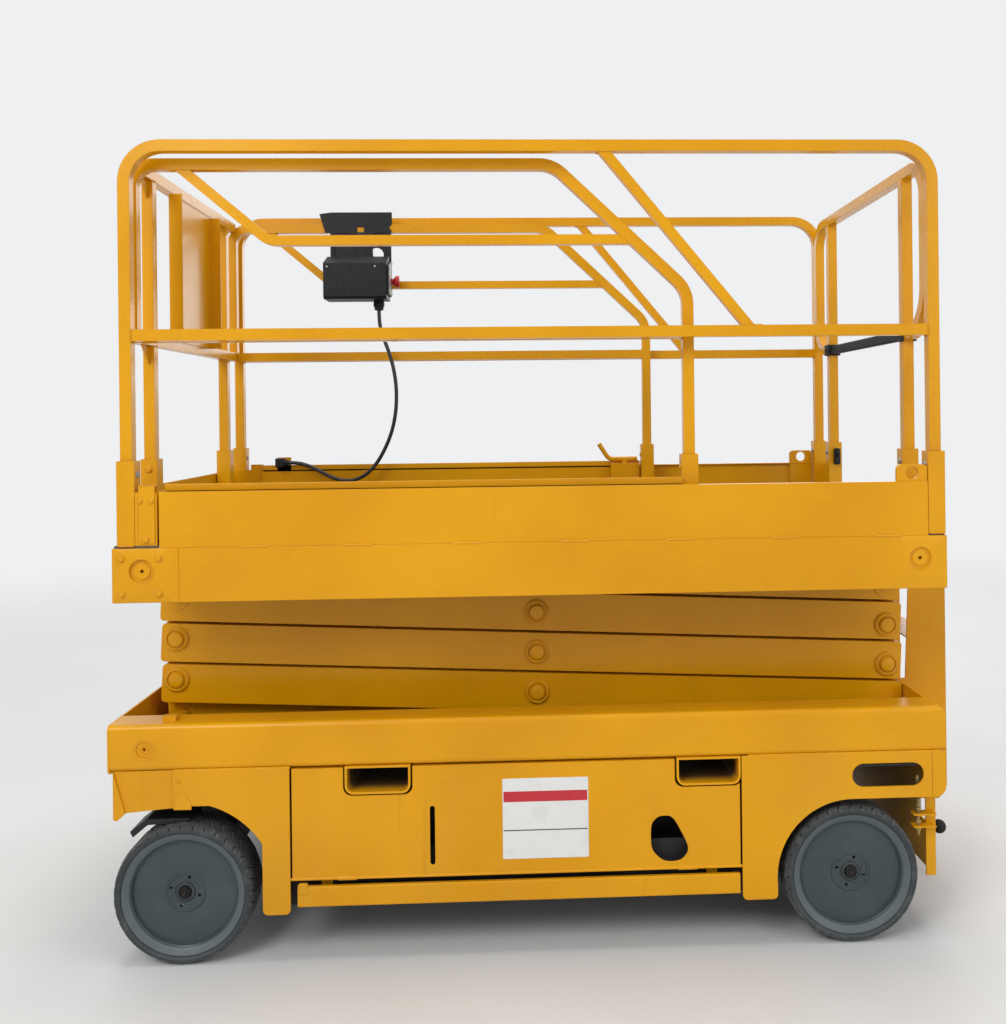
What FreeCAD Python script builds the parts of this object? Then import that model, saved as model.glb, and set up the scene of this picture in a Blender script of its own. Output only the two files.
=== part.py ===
import FreeCAD, Part
import math
import os

# Self-propelled scissor lift with four stacked pairs of arms, millimetres.
# X runs along the machine with the steered axle towards -X, Y across it, Z up.
# The origin lies on the floor under the middle of the whole machine.

# Whole machine
beam_length = 2326.0           # chassis side beams, which set the length of the machine
ladder_reach = 164.0           # ladder's back edge behind the beams
machine_width = 1200.0         # over the tyres, the side beams and the guardrails
sheet = 6.0                    # folded plate of the chassis
thin_sheet = 4.0               # toe boards, doors and covers
run_gap = 0.05                 # radial gap of a pin in its boss
seat_gap = 0.3                 # pieces of two bodies that rest on each other
free_gap = 5.0                 # pieces that pass each other

front_x = -(beam_length + ladder_reach) / 2
rear_x = front_x + beam_length + ladder_reach
beam_rear_x = front_x + beam_length
side_y = machine_width / 2

# Wheels
tyre_diameter = 381.0
tyre_width = 127.0
rim_diameter = 296.0
disc_dish = 30.0
front_axle_inset = 197.0       # axles from the ends of the side beams
rear_axle_inset = 269.0
front_axle_x = front_x + front_axle_inset
rear_axle_x = beam_rear_x - rear_axle_inset
axle_z = tyre_diameter / 2
bead_width = 26.0              # slanting side of the tyre outside the rim
wheel_bolt_circle = 80.0
wheel_bolt_turn = 74.0         # degrees from the floor's direction to the first hole
wheel_bolt_hole = 9.0
hub_ring_radius = 53.0
spindle_radius = 19.0
spindle_collar_radius = 30.0
hub_radius = 44.0

# Steering
king_pin_inset = 45.0          # king pins from the inner side of the tyres
king_pin_y = side_y - tyre_width - king_pin_inset
king_pin_radius = 14.0
knuckle_height = 96.0
steer_arm_length = 150.0
tie_rod_radius = 12.0
steer_stud_radius = 8.0
stud_gap = 0.6                 # at the far end of the tie rod, where the steering linkage is opened
axle_beam_height = 84.0
axle_beam_width = 110.0
axle_crown = 30.0              # rise of the beam's middle towards its mount
axle_mount_y = king_pin_y - 178.0
axle_mount_length = 140.0

# Drive at the rear wheels
drive_radius = 72.0
drive_length = 135.0
drive_gap = 8.0                # housing from the tyre
rear_tube_radius = 46.0
rear_mount_length = 120.0
drive_outer_y = side_y - tyre_width - drive_gap
drive_inner_y = drive_outer_y - drive_length
rear_mount_y = drive_inner_y - 30.0

# Chassis side beams
beam_bottom = 534.0
beam_height = 126.0
beam_flange = 100.0
beam_corner = 15.0
beam_top = beam_bottom + beam_height

# Chassis skirts and doors
skirt_front_x = front_x + 14.0
skirt_spike_bottom = 404.0
skirt_bottom = 436.0
pillar_bottom = 131.0
apron_end = front_axle_x - 22.0   # set-back apron in front of the front wheels
apron_lap = 20.0
front_arch_radius = 257.0
rear_arch_radius = 215.0
front_pillar_x = front_axle_x + 218.0
front_pillar_width = 80.0
rear_pillar_x = rear_axle_x - 214.0
rear_pillar_width = 104.0
door_front_x = front_pillar_x + front_pillar_width
door_rear_x = rear_pillar_x - rear_pillar_width
door_gap = 5.0
door_bottom = 226.0
door_return = 22.0
door_recess = 5.0
hinge_radius = 4.0
hinge_knuckle = 6.0
rear_plate_x = beam_rear_x - 12.0
rear_plate_bottom = 162.0
rear_plate_half = 550.0        # half of the width of its hanging part
wing_length = 39.0             # side wings of the rear plate, behind the skirts
wing_corner = 28.0
slot_length = 205.0
slot_height = 66.0
slot_x = rear_axle_x + 103.0
slot_z = 471.0
slit_x = door_front_x + 385.0
slit_width = 14.0
slit_bottom = door_bottom + 28.0
slit_top = door_bottom + 191.0

# Ladder on the rear plate
ladder_half = 200.0            # inner faces of its stringers from the middle
ladder_bottom = 252.0
ladder_top = 985.0
ladder_steps = (300.0, 530.0, 760.0, 960.0)

# Fork pockets through the chassis
pocket_width = 180.0
pocket_height = 78.0
pocket_corner = 24.0
pocket_centres = (door_front_x + 236.0, door_rear_x - 88.0)
floor_z = pillar_bottom + 8.0  # underside of the floor pan
shelf_z = 500.0                # top of the plates at the height of the pockets
pan_inset = 42.0               # floor pan's edges inside the chassis sides

# Pothole guards
guard_bottom = 148.0
guard_height = 57.0
guard_thickness = 12.0
guard_travel = 115.0
guard_front_x = door_front_x + 14.0
guard_rear_x = door_rear_x - 2.0
guide_places = (guard_front_x + 60.0, guard_rear_x - 90.0)
guide_width = 30.0
guide_thickness = 6.0
guide_depth = door_recess + door_return + free_gap + guide_thickness

# Scissor stack
stack_count = 4
arm_height = 114.0
arm_gap = 8.0                  # between stowed arms, one above the other
base_pin_z = 593.0
pivot_inset = 98.5             # end pins from the ends of the side beams
rear_pin_inset = 69.5
pivot_x = front_x + pivot_inset
rear_pin_x = beam_rear_x - rear_pin_inset
pitch = arm_height + arm_gap   # height that one stowed stack takes
pin_distance = math.hypot(rear_pin_x - pivot_x, pitch)
stowed = math.asin(pitch / pin_distance)
arm_width = 50.0
outer_arm_y = 320.0            # outside face of the outer arms
arm_side_gap = 8.0
arm_overhang = 45.0
arm_end_corner = 12.0
pin_offset = 12.0              # pin above or below the arm's middle line at its ends
pin_radius = 22.0
boss_radius = 37.0
boss_stand = 4.0
open_pin_gap = 1.0             # radial gap at the pins where each linkage loop is opened
tie_tube_radius = 30.0
tie_front = 280.0              # cross tubes of the inner arms, along the arm from its front pin
tie_middle = pin_distance / 2 + 220.0
tie_rear = pin_distance - 280.0
# stack number: its cross tubes
tie_tube_places = {1: (tie_front, tie_middle), 2: (tie_front, tie_rear), 3: (tie_middle, tie_rear),
                   4: (tie_front, tie_rear)}
roller_radius = 49.0
roller_width = 36.0
base_roller_y = side_y - 84.0  # inner face of the rollers in the chassis side beams
top_roller_y = side_y - 50.0   # and of those in the platform's beams
track_length = 1230.0

# Lift cylinder, from the first inner arm to the third
barrel_eye_s = pin_distance - 121.4   # along the arms from their front pins
rod_eye_s = 440.0
barrel_radius = 55.0
rod_radius = 27.0
eye_radius = 42.0
eye_width = 60.0
eye_pin_radius = 20.0
lug_thickness = 16.0
lug_radius = 52.0
lug_gap = 3.0

# Platform
platform_front_x = front_x + 19.0
platform_rear_x = beam_rear_x + 9.0
pin_above_platform = 86.0      # top pins above the underside of the platform's beams
platform_beam_height = 149.0
platform_flange = 60.0
deck_thickness = 6.0
toe_height = 153.0
rail_size = 32.0
rail_height = 1120.0           # above the platform's beams
mid_rail_height = 599.0
rail_bend = 100.0
entry_low_bend = 130.0
entry_top_bend = 90.0
socket_size = 48.0
socket_height = 238.0
socket_wall = 3.6
corner_post_front = 37.0       # guardrail posts from the platform's ends
corner_post_rear = 26.0
cross_post_y = side_y - 222.0
gate_travel = 330.0
collar_wall = 8.0              # gate bar's sliding collars round the entry posts
collar_height = 40.0
tab_width = 88.0
tab_hole_radius = 18.0
tab_x = platform_rear_x - 96.0
toe_board_inset = 127.0        # side kick plates from the platform's front end
brace_top_x = platform_rear_x - 970.0
brace_foot_x = platform_rear_x - 542.0

# Extension deck
extension_travel = 915.0
extension_length = 1624.0
extension_rear_x = platform_front_x + extension_length
extension_board_y = side_y - 52.0
extension_post_y = extension_board_y - 39.0
extension_runner_height = 6.0
front_post_y = side_y - 222.0
extension_bend = 95.0
slope_top_x = extension_rear_x - 409.0
slope_foot_z = 1850.0
second_rail_z = 1997.0
second_rail_start_x = platform_front_x + 156.0
second_rail_bend_x = platform_front_x + 411.0
second_rail_end_x = extension_rear_x - 178.0

# Control box
control_x = -714.0
control_width = 230.0
control_height = 168.0
control_front_height = 131.0   # height of the face towards the deck, where the lid slopes down
control_depth = 116.0
control_drop = 164.0           # top of the box under the top of the guardrails
bracket_height = 78.0
bracket_rise = 45.0            # bracket above the extension's top rail
bracket_sheet = 3.0
loop_thickness = 10.0          # carrying loops behind the box
face_plate = 8.0
stop_radius = 22.0
cable_radius = 7.0

beam_web = sheet
top_pin_z = base_pin_z + stack_count * pitch
platform_bottom = top_pin_z - pin_above_platform
platform_top = platform_bottom + platform_beam_height
deck_top = platform_top + deck_thickness
toe_top = platform_top + toe_height
rail_top = platform_top + rail_height
mid_rail_top = platform_top + mid_rail_height
control_top_z = rail_top - control_drop
inner_arm_y = outer_arm_y - arm_width - arm_side_gap


def vec(x, y, z):
    return FreeCAD.Vector(x, y, z)


def box(x0, x1, y0, y1, z0, z1):
    low = vec(min(x0, x1), min(y0, y1), min(z0, z1))
    return Part.makeBox(abs(x1 - x0), abs(y1 - y0), abs(z1 - z0), low)


def rod_x(x0, x1, y, z, radius):
    return Part.makeCylinder(radius, abs(x1 - x0), vec(min(x0, x1), y, z), vec(1, 0, 0))


def rod_y(x, y0, y1, z, radius):
    return Part.makeCylinder(radius, abs(y1 - y0), vec(x, min(y0, y1), z), vec(0, 1, 0))


def rod_z(x, y, z0, z1, radius):
    return Part.makeCylinder(radius, abs(z1 - z0), vec(x, y, min(z0, z1)), vec(0, 0, 1))


def ring_y(x, y0, y1, z, outer, inner):
    return rod_y(x, y0, y1, z, outer).cut(rod_y(x, min(y0, y1) - 1, max(y0, y1) + 1, z, inner))


def join(shapes):
    whole = shapes[0].fuse(shapes[1:]) if len(shapes) > 1 else shapes[0]
    return whole.removeSplitter()


def mirrored(shape):
    """The same shape on the other side of the machine's middle plane."""
    return shape.mirror(vec(0, 0, 0), vec(0, 1, 0))


def both_sides(shape):
    return [shape, mirrored(shape)]


def plate_xz(corners, y0, y1):
    """A flat plate whose outline is a list of (x, z) corners."""
    wire = Part.makePolygon([vec(x, min(y0, y1), z) for x, z in corners + corners[:1]])
    return Part.Face(wire).extrude(vec(0, abs(y1 - y0), 0))


def plate_yz(corners, x0, x1):
    wire = Part.makePolygon([vec(min(x0, x1), y, z) for y, z in corners + corners[:1]])
    return Part.Face(wire).extrude(vec(abs(x1 - x0), 0, 0))


def round_edges(shape, radius, axis, chosen=None):
    """Rounds the edges that run along an axis and that the test accepts."""
    edges = []
    for edge in shape.Edges:
        if edge.Curve.TypeId != "Part::GeomLine":
            continue
        along = edge.Vertexes[1].Point - edge.Vertexes[0].Point
        if abs(along.normalize().dot(axis)) > 0.999 and (chosen is None or chosen(edge.CenterOfMass)):
            edges.append(edge)
    return shape.makeFillet(radius, edges) if edges else shape


def slot_y(x, z, length, height, y0, y1):
    """A long hole with round ends, cut along Y."""
    radius = height / 2
    reach = length / 2 - radius
    parts = [box(x - reach, x + reach, y0, y1, z - radius, z + radius)]
    parts += [rod_y(x + side * reach, y0, y1, z, radius) for side in (-1, 1)]
    return join(parts)


def section_face(point, along, across, size, is_round):
    """A round or square section standing across a path."""
    if is_round:
        return Part.Face(Part.Wire(Part.makeCircle(size / 2, point, along)))
    up = along.cross(across)
    half = size / 2
    turns = ((-1, -1), (1, -1), (1, 1), (-1, 1), (-1, -1))
    return Part.Face(Part.makePolygon([point + across * (a * half) + up * (b * half) for a, b in turns]))


def bent_bar(points, radii, size, across, is_round=False):
    """A bar along straight runs joined by bends; across is the normal of the plane that it is bent in."""
    parts = []
    start = points[0]
    for place, point in enumerate(points[1:], 1):
        along = (point - points[place - 1]).normalize()
        end = point
        if place < len(points) - 1:
            onward = (points[place + 1] - point).normalize()
            turn = along.getAngle(onward)
            radius = radii[place - 1]
            back = radius * math.tan(turn / 2)
            end = point - along * back
        parts.append(section_face(start, along, across, size, is_round).extrude(end - start))
        if place < len(points) - 1:
            axis = along.cross(onward).normalize()
            centre = end + axis.cross(along) * radius
            face = section_face(end, along, across, size, is_round)
            parts.append(face.revolve(centre, axis, math.degrees(turn)))
            start = point + onward * back
    return join(parts)


# Chassis

def make_side_beams():
    """Folded channels that open inwards, with the boss of the scissor's lower pivot."""
    inner = side_y - beam_flange
    start = front_x + sheet
    track_top = base_pin_z - roller_radius - seat_gap
    outside = box(start, beam_rear_x, -side_y, -inner, beam_bottom, beam_top)
    outside = round_edges(outside, beam_corner, vec(1, 0, 0), lambda p: p.y < -side_y + 1)
    inside = box(front_x - 1, beam_rear_x + 1, -side_y + beam_web, -inner + 1,
                 beam_bottom + beam_web, beam_top - beam_web)
    beam = outside.cut(inside)
    gusset = box(pivot_x - 70, pivot_x + 70, -inner - sheet, -inner,
                 beam_bottom + beam_web, beam_top - beam_web)
    stop = box(pivot_x + 38, pivot_x + 74, -side_y + 40, -side_y + 66, beam_top, beam_top + 12)
    tube = rod_y(pivot_x, -side_y, -inner, base_pin_z, boss_radius)
    bore = rod_y(pivot_x, -side_y - 1, -inner + 1, base_pin_z, pin_radius + run_gap)
    corner = plate_xz([(beam_rear_x - 16, beam_top + 1), (beam_rear_x + 1, beam_top - 16),
                       (beam_rear_x + 1, beam_top + 1)], -side_y - 1, -inner + 1)
    track = box(rear_pin_x - track_length, beam_rear_x, -side_y + beam_web, -base_roller_y + 4,
                beam_bottom + beam_web, track_top)
    near = join([beam, gusset, stop, tube, track]).cut(bore).cut(corner)
    return both_sides(near)


def make_pivot_shaft():
    """The fixed lower pivot, carried by both side beams."""
    shaft = rod_y(pivot_x, -side_y + 3, side_y - 3, base_pin_z, pin_radius)
    centre_holes = [rod_y(pivot_x, side * (side_y - 14), side * side_y, base_pin_z, 5.0) for side in (-1, 1)]
    return [shaft.cut(centre_holes[0]).cut(centre_holes[1])]


def make_end_plates():
    """The front plate, set back below the beams, and the rear plate that hangs down between the wheels."""
    upper = box(front_x, front_x + sheet, -side_y, side_y, beam_bottom, beam_top)
    upper = round_edges(upper, beam_corner, vec(1, 0, 0), lambda p: p.z > beam_top - 1)
    inside = side_y - sheet
    lower = box(skirt_front_x, skirt_front_x + sheet, -inside, inside, skirt_spike_bottom, beam_bottom)
    lower = round_edges(lower, 30.0, vec(1, 0, 0), lambda p: p.z < skirt_spike_bottom + 1)
    joggle = box(front_x, skirt_front_x + sheet, -inside, inside, beam_bottom - sheet, beam_bottom)
    between = side_y - beam_flange - sheet
    top, step = beam_top - beam_web, axle_z + rear_arch_radius
    right = [(between, top), (between, beam_bottom), (inside, beam_bottom), (inside, step),
             (rear_plate_half, step), (rear_plate_half, rear_plate_bottom)]
    outline = [(-y, z) for y, z in right] + right[::-1]
    rear = plate_yz(outline, rear_plate_x - sheet, rear_plate_x)
    window = box(rear_plate_x - sheet - 1, rear_plate_x + 1, -rear_plate_half + 10, -rear_plate_half + 130,
                 rear_plate_bottom + 130, step - 12)
    flanges = [box(rear_plate_x - sheet - 22, rear_plate_x - sheet, side * (rear_plate_half - sheet),
                   side * rear_plate_half, rear_plate_bottom, step) for side in (-1, 1)]
    wing = box(beam_rear_x - wing_length, beam_rear_x, -side_y, -inside, step, beam_bottom)
    wing = round_edges(wing, wing_corner, vec(0, 1, 0), lambda p: p.z < step + 1 and p.x > beam_rear_x - 1)
    return [join([upper, lower, joggle]), join([rear.cut(window)] + flanges + both_sides(wing))]


def make_skirts():
    """Side plates under the beams, with an arch over each wheel and a pillar at each end of the door."""
    front = plate_xz([(apron_end, beam_bottom), (apron_end, skirt_bottom), (front_axle_x, skirt_bottom),
                      (front_axle_x, pillar_bottom), (door_front_x - door_gap, pillar_bottom),
                      (door_front_x - door_gap, beam_bottom)], -side_y, -side_y + sheet)
    apron = plate_xz([(skirt_front_x + sheet, beam_bottom), (skirt_front_x + sheet, skirt_bottom - 18),
                      (apron_end + apron_lap, skirt_bottom - 4), (apron_end + apron_lap, beam_bottom)],
                     -side_y + sheet, -side_y + 2 * sheet)
    spike = plate_xz([(skirt_front_x, beam_bottom), (skirt_front_x, skirt_spike_bottom),
                      (skirt_front_x + 10, skirt_spike_bottom - 4), (skirt_front_x + 32, skirt_bottom - 16)],
                     -side_y, -side_y + sheet)
    y0, y1 = -side_y - 1, -side_y + sheet + 1   # cuts pass through the plate
    front_arch = rod_y(front_axle_x, y0, y1, axle_z, front_arch_radius)
    under_arch = box(front_axle_x - 1, front_pillar_x, y0, y1, pillar_bottom - 1, axle_z)
    arch_roof = box(front_axle_x - 400, front_axle_x + 400, y0, y1, axle_z, skirt_bottom)
    post_keep = box(front_pillar_x, 0, y0, y1, pillar_bottom - 1, skirt_bottom)
    front = front.cut(front_arch.common(arch_roof).cut(post_keep)).cut(under_arch)
    front = round_edges(front, 14.0, vec(0, 1, 0), lambda p: p.z < pillar_bottom + 1)
    x0 = door_rear_x + door_gap
    skirt_end = beam_rear_x - wing_length - 1
    rear = plate_xz([(x0, beam_bottom), (x0, pillar_bottom), (rear_axle_x, pillar_bottom),
                     (rear_axle_x, axle_z + rear_arch_radius), (skirt_end, axle_z + rear_arch_radius),
                     (skirt_end, beam_bottom)], -side_y, -side_y + sheet)
    rear_arch = rod_y(rear_axle_x, y0, y1, axle_z, rear_arch_radius)
    rear_under = box(rear_pillar_x, rear_axle_x + 1, y0, y1, pillar_bottom - 1, axle_z)
    rear = rear.cut(rear_arch).cut(rear_under)
    rear = rear.cut(slot_y(slot_x, slot_z, slot_length, slot_height, y0, y1))
    rear = round_edges(rear, 14.0, vec(0, 1, 0), lambda p: p.z < pillar_bottom + 1)
    hinge_y, hinge_z = -side_y + hinge_knuckle, door_bottom - 1
    bore = rod_x(front_x, rear_x, hinge_y, hinge_z, hinge_radius + run_gap)
    blocks = [box(x, x + 18, -side_y + 1, -side_y + 18, hinge_z - 12, hinge_z + 12)
              for x in (door_front_x - door_gap - 24, door_rear_x + door_gap + 6)]
    front = join([front, apron, spike, blocks[0]]).cut(bore)
    return both_sides(front), both_sides(join([rear, blocks[1]]).cut(bore))


def wall_places():
    """Front faces of the cross walls at the ends of the door bay."""
    return front_pillar_x + 50, rear_pillar_x - 20 - sheet


def make_floor_pan():
    """Floor of the door bay with an upright lip along each side, which carries the guards' guides."""
    pan_y = side_y - pan_inset
    front, rear = wall_places()
    parts = [box(front, rear + sheet, -pan_y, pan_y, floor_z, floor_z + sheet)]
    lip_top = floor_z + guard_travel + 40
    for side in (-1, 1):
        parts.append(box(front + sheet, rear, side * pan_y, side * (pan_y - sheet), floor_z, lip_top))
        for x in guide_places:
            parts.append(box(x - 8, x + guide_width + 8, side * pan_y,
                             side * (side_y - guide_depth - seat_gap), guard_bottom + 10, lip_top))
    return [join(parts)]


def make_cross_frame(wall_x, shelves, mount):
    """A cross wall, the shelves at pocket height and the mount of the axle below them."""
    pan_y = side_y - pan_inset
    parts = [box(wall_x, wall_x + sheet, -pan_y, pan_y, floor_z + sheet, shelf_z)]
    for x0, x1, half in shelves:
        parts.append(box(x0, x1, -half, half, shelf_z - sheet, shelf_z))
    x, length, half, low = mount
    parts.append(box(x - length / 2, x + length / 2, -half, half, low, shelf_z))
    return [join(parts)]


def make_cross_frames():
    """Frames at the front and the rear of the door bay, the rear one with the shelf between the pockets."""
    pan_y, wide_y = side_y - pan_inset, side_y - sheet
    front_wall, rear_wall = wall_places()
    edges = [(x - pocket_width / 2, x + pocket_width / 2) for x in pocket_centres]
    front_end, rear_end = door_front_x - 2 * door_gap, door_rear_x + 2 * door_gap
    front_shelves = ((skirt_front_x + sheet, apron_end + apron_lap, wide_y - sheet),
                     (apron_end + apron_lap, front_end, wide_y), (front_end, edges[0][0], pan_y))
    rear_shelves = ((edges[1][1], rear_end, pan_y), (rear_end, rear_plate_x - sheet, wide_y))
    front_mount = (front_axle_x, axle_mount_length, axle_mount_y, axle_z + axle_beam_height / 2 + axle_crown)
    rear_mount = (rear_axle_x, rear_mount_length, rear_mount_y, axle_z + rear_tube_radius)
    front = make_cross_frame(front_wall, front_shelves, front_mount)
    rear = make_cross_frame(rear_wall, rear_shelves, rear_mount)
    middle = box(edges[0][1], edges[1][0], -pan_y, pan_y, shelf_z - sheet, shelf_z)
    return front, rear + [middle]


def make_fork_pockets():
    """Two liners through the chassis for fork tines, open at both ends."""
    top = beam_bottom
    shapes = []
    for x in pocket_centres:
        outside = box(x - pocket_width / 2, x + pocket_width / 2, -side_y, side_y, top - pocket_height, top)
        outside = round_edges(outside, pocket_corner, vec(0, 1, 0), lambda p: p.z < top - 1)
        inside = box(x - pocket_width / 2 + sheet, x + pocket_width / 2 - sheet, -side_y - 1, side_y + 1,
                     top - pocket_height + sheet, top - sheet)
        inside = round_edges(inside, pocket_corner - sheet, vec(0, 1, 0), lambda p: p.z < top - sheet - 1)
        shapes.append(outside.cut(inside))
    return shapes


def make_power_packs():
    """The battery pack and the hydraulic unit, a plain block each, on the floor pan."""
    floor = floor_z + sheet
    middle = (front_pillar_x + rear_pillar_x) / 2
    # start and end along the machine, half width, height
    packs = ((front_pillar_x + 130, middle + 56, side_y - 100, 230.0),
             (middle + 136, rear_pillar_x - 138, side_y - 140, 200.0))
    return [box(x0, x1, -half, half, floor, floor + height) for x0, x1, half, height in packs]


def make_front_axle():
    """Beam with a forked end round each king pin."""
    half_height = axle_beam_height / 2
    underside = axle_z - 20.0
    body = plate_yz([(-king_pin_y + 60, underside), (king_pin_y - 60, underside),
                     (king_pin_y - 60, axle_z + half_height),
                     (axle_mount_y, axle_z + half_height + axle_crown),
                     (-axle_mount_y, axle_z + half_height + axle_crown),
                     (-king_pin_y + 60, axle_z + half_height)],
                    front_axle_x - axle_beam_width / 2, front_axle_x + axle_beam_width / 2)
    parts = [body]
    ear, ear_width = 14.0, 48.0
    reach = knuckle_height / 2 + seat_gap
    x0, x1 = front_axle_x - ear_width / 2, front_axle_x + ear_width / 2
    for side in (-1, 1):
        y0, y1 = side * (king_pin_y - 80), side * king_pin_y
        for low in (axle_z - reach - ear, axle_z + reach):
            parts.append(box(x0, x1, y0, y1, low, low + ear))
            parts.append(rod_z(front_axle_x, y1, low, low + ear, ear_width / 2))
        parts.append(box(front_axle_x - 9, front_axle_x + 9, y0, side * (king_pin_y - 50),
                         axle_z - reach - ear, axle_z + reach + ear))
        parts.append(rod_z(front_axle_x, y1, axle_z - reach - ear, axle_z + reach + ear, king_pin_radius))
    return [join(parts)]


def make_knuckle(side):
    """Barrel on the king pin, with the wheel's spindle and the steering arm."""
    y = side * king_pin_y
    barrel = rod_z(front_axle_x, y, axle_z - knuckle_height / 2, axle_z + knuckle_height / 2, 23)
    spindle = rod_y(front_axle_x, y, side * (side_y - 30), axle_z, spindle_radius)
    collar = rod_y(front_axle_x, y + side * 15, side * hub_inner_y(), axle_z, spindle_collar_radius)
    arm_z = axle_z - knuckle_height / 2
    x = front_axle_x + steer_arm_length
    arm = plate_xz([(front_axle_x, arm_z), (x, arm_z), (x, arm_z + 14), (front_axle_x, arm_z + 20)],
                   y - 12, y + 12)
    eye = rod_z(x, y, arm_z, arm_z + 14, 18)
    stud = rod_z(x, y, arm_z - 32, arm_z, steer_stud_radius)
    bore = rod_z(front_axle_x, y, 0, 2 * axle_z, king_pin_radius + run_gap)
    return [join([barrel, spindle, collar, arm, eye, stud]).cut(bore)]


def hub_inner_y():
    return side_y - tyre_width + 22.0


def make_tie_rod():
    """Rod between the two steering arms, under them."""
    x = front_axle_x + steer_arm_length
    z = axle_z - knuckle_height / 2 - 15.0
    parts = [rod_y(x, -king_pin_y, king_pin_y, z, tie_rod_radius)]
    parts += [rod_z(x, side * king_pin_y, z - 14, z + 15 - seat_gap, 19) for side in (-1, 1)]
    whole = join(parts)
    whole = whole.cut(rod_z(x, -king_pin_y, z - 20, z + 20, steer_stud_radius + run_gap))
    return [whole.cut(rod_z(x, king_pin_y, z - 20, z + 20, steer_stud_radius + stud_gap))]


def make_rear_axle():
    """Cross tube with a drive housing and a spindle at each end."""
    parts = [rod_y(rear_axle_x, -drive_inner_y - 50, drive_inner_y + 50, axle_z, rear_tube_radius)]
    start = drive_outer_y - 20
    for side in (-1, 1):
        parts.append(rod_y(rear_axle_x, side * drive_inner_y, side * drive_outer_y, axle_z, drive_radius))
        parts.append(rod_y(rear_axle_x, side * start, side * hub_inner_y(), axle_z, spindle_collar_radius))
        parts.append(rod_y(rear_axle_x, side * start, side * (side_y - 30), axle_z, spindle_radius))
    half = rear_mount_length / 2
    parts.append(box(rear_axle_x - half, rear_axle_x + half, -rear_mount_y, rear_mount_y, axle_z - 20,
                     axle_z + rear_tube_radius))
    return [join(parts)]


def make_tyre(x, side):
    """Solid tyre: a slanting side beside the rim, a raised band round the sidewall and round shoulders."""
    outer, inner = tyre_diameter / 2, rim_diameter / 2
    half = tyre_width / 2
    # radius, then distance from the tyre's middle plane
    band = inner + bead_width
    flank = [(inner, half - 16), (band, half - 2), (band + 4, half), (band + 8, half), (outer - 5, half - 6),
             (outer - 1.5, half - 14), (outer, half - 24)]
    profile = flank + [(r, -y) for r, y in reversed(flank)]
    wire = Part.makePolygon([vec(r, y, 0) for r, y in profile + profile[:1]])
    tyre = Part.Face(wire).revolve(vec(0, 0, 0), vec(0, 1, 0), 360)
    tyre.translate(vec(x, side * (side_y - half), axle_z))
    return [tyre]


def make_disc(x, side):
    """Dished wheel disc with a rim ring, a raised ring round its bolt holes and the spindle's bore."""
    half = tyre_width / 2
    radius = rim_diameter / 2
    middle = side * (side_y - half)
    # radius, then distance towards the outside from the wheel's middle plane
    face = half - disc_dish
    profile = [(spindle_radius + run_gap, half - 62), (hub_radius, half - 62), (hub_radius, face - 10),
               (radius - 12, face - 10), (radius - 10, face - 12), (radius - 10, -half + 16),
               (radius - 0.2, -half + 16), (radius - 0.2, half - 17), (radius - 4, half - 20),
               (radius - 6, face), (hub_ring_radius + 3, face), (hub_ring_radius, face + 4),
               (hub_ring_radius - 4, face + 4), (hub_ring_radius - 6, face + 1),
               (spindle_radius + 8, face + 1), (spindle_radius + 5, face + 4),
               (spindle_radius + run_gap, face + 4)]
    wire = Part.makePolygon([vec(r, side * y, 0) for r, y in profile + profile[:1]])
    disc = Part.Face(wire).revolve(vec(0, 0, 0), vec(0, 1, 0), 360)
    for index in range(4):
        angle = math.radians(wheel_bolt_turn + 90 * index)
        place = (wheel_bolt_circle / 2 * math.cos(angle), wheel_bolt_circle / 2 * math.sin(angle))
        disc = disc.cut(rod_y(place[0], -half, half, place[1], wheel_bolt_hole / 2))
    disc.translate(vec(x, middle, axle_z))
    return [disc]


def make_ladder():
    """Two folded stringers and the steps between them, welded to the rear plate."""
    stringer_y, bottom, top = ladder_half, ladder_bottom, ladder_top
    outline = [(rear_plate_x + 44, bottom), (rear_x - 26, bottom), (rear_x, bottom + 40), (rear_x, top),
               (rear_x - 118, top), (rear_x - 136, bottom + 300), (rear_x - 136, bottom + 30)]
    parts = []
    for side in (-1, 1):
        stringer = plate_xz(outline, side * stringer_y, side * (stringer_y + thin_sheet))
        outer = side * (stringer_y + thin_sheet)
        foot = box(rear_plate_x, rear_x - 100, side * stringer_y, outer, bottom + 48, beam_top - 20)
        flange = box(rear_plate_x, rear_plate_x + sheet, side * stringer_y, side * (stringer_y + 46),
                     bottom + 48, beam_top - 20)
        parts += [stringer, foot, flange]
    for z in ladder_steps:
        tread = box(rear_x - 112, rear_x - 8, -stringer_y, stringer_y, z, z + thin_sheet)
        nose = box(rear_x - 12, rear_x - 8, -stringer_y, stringer_y, z - 22, z + thin_sheet)
        parts += [tread, nose]
    return [join(parts)]


def make_release_knob():
    """Hand valve: a ball knob on a rod through the rear plate, with its spring and brackets inside."""
    y, z = -side_y + 150.0, rear_plate_bottom + 99.0
    ball = Part.makeSphere(20, vec(rear_plate_x + 50, y, z))
    stem = rod_x(rear_plate_x, rear_plate_x + 50, y, z, 5)
    collar = rod_x(rear_plate_x, rear_plate_x + 12, y, z, 11)
    return [join([ball, stem, collar])]


def handle_hole(y0, y1):
    """Opening above the door's latch: straight at its front, with its rear side slanting out to the foot."""
    left, right = door_rear_x - 252, door_rear_x - 148
    low, high = door_bottom + 18.0, door_bottom + 146.0
    outline = [(left, low + 34), (left + 34, low), (right - 22, low), (right, low + 22), (right, low + 46),
               (left + 62, high), (left + 22, high), (left, high - 22)]
    hole = plate_xz(outline, y0, y1)
    return round_edges(hole, 12.0, vec(0, 1, 0))


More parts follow.
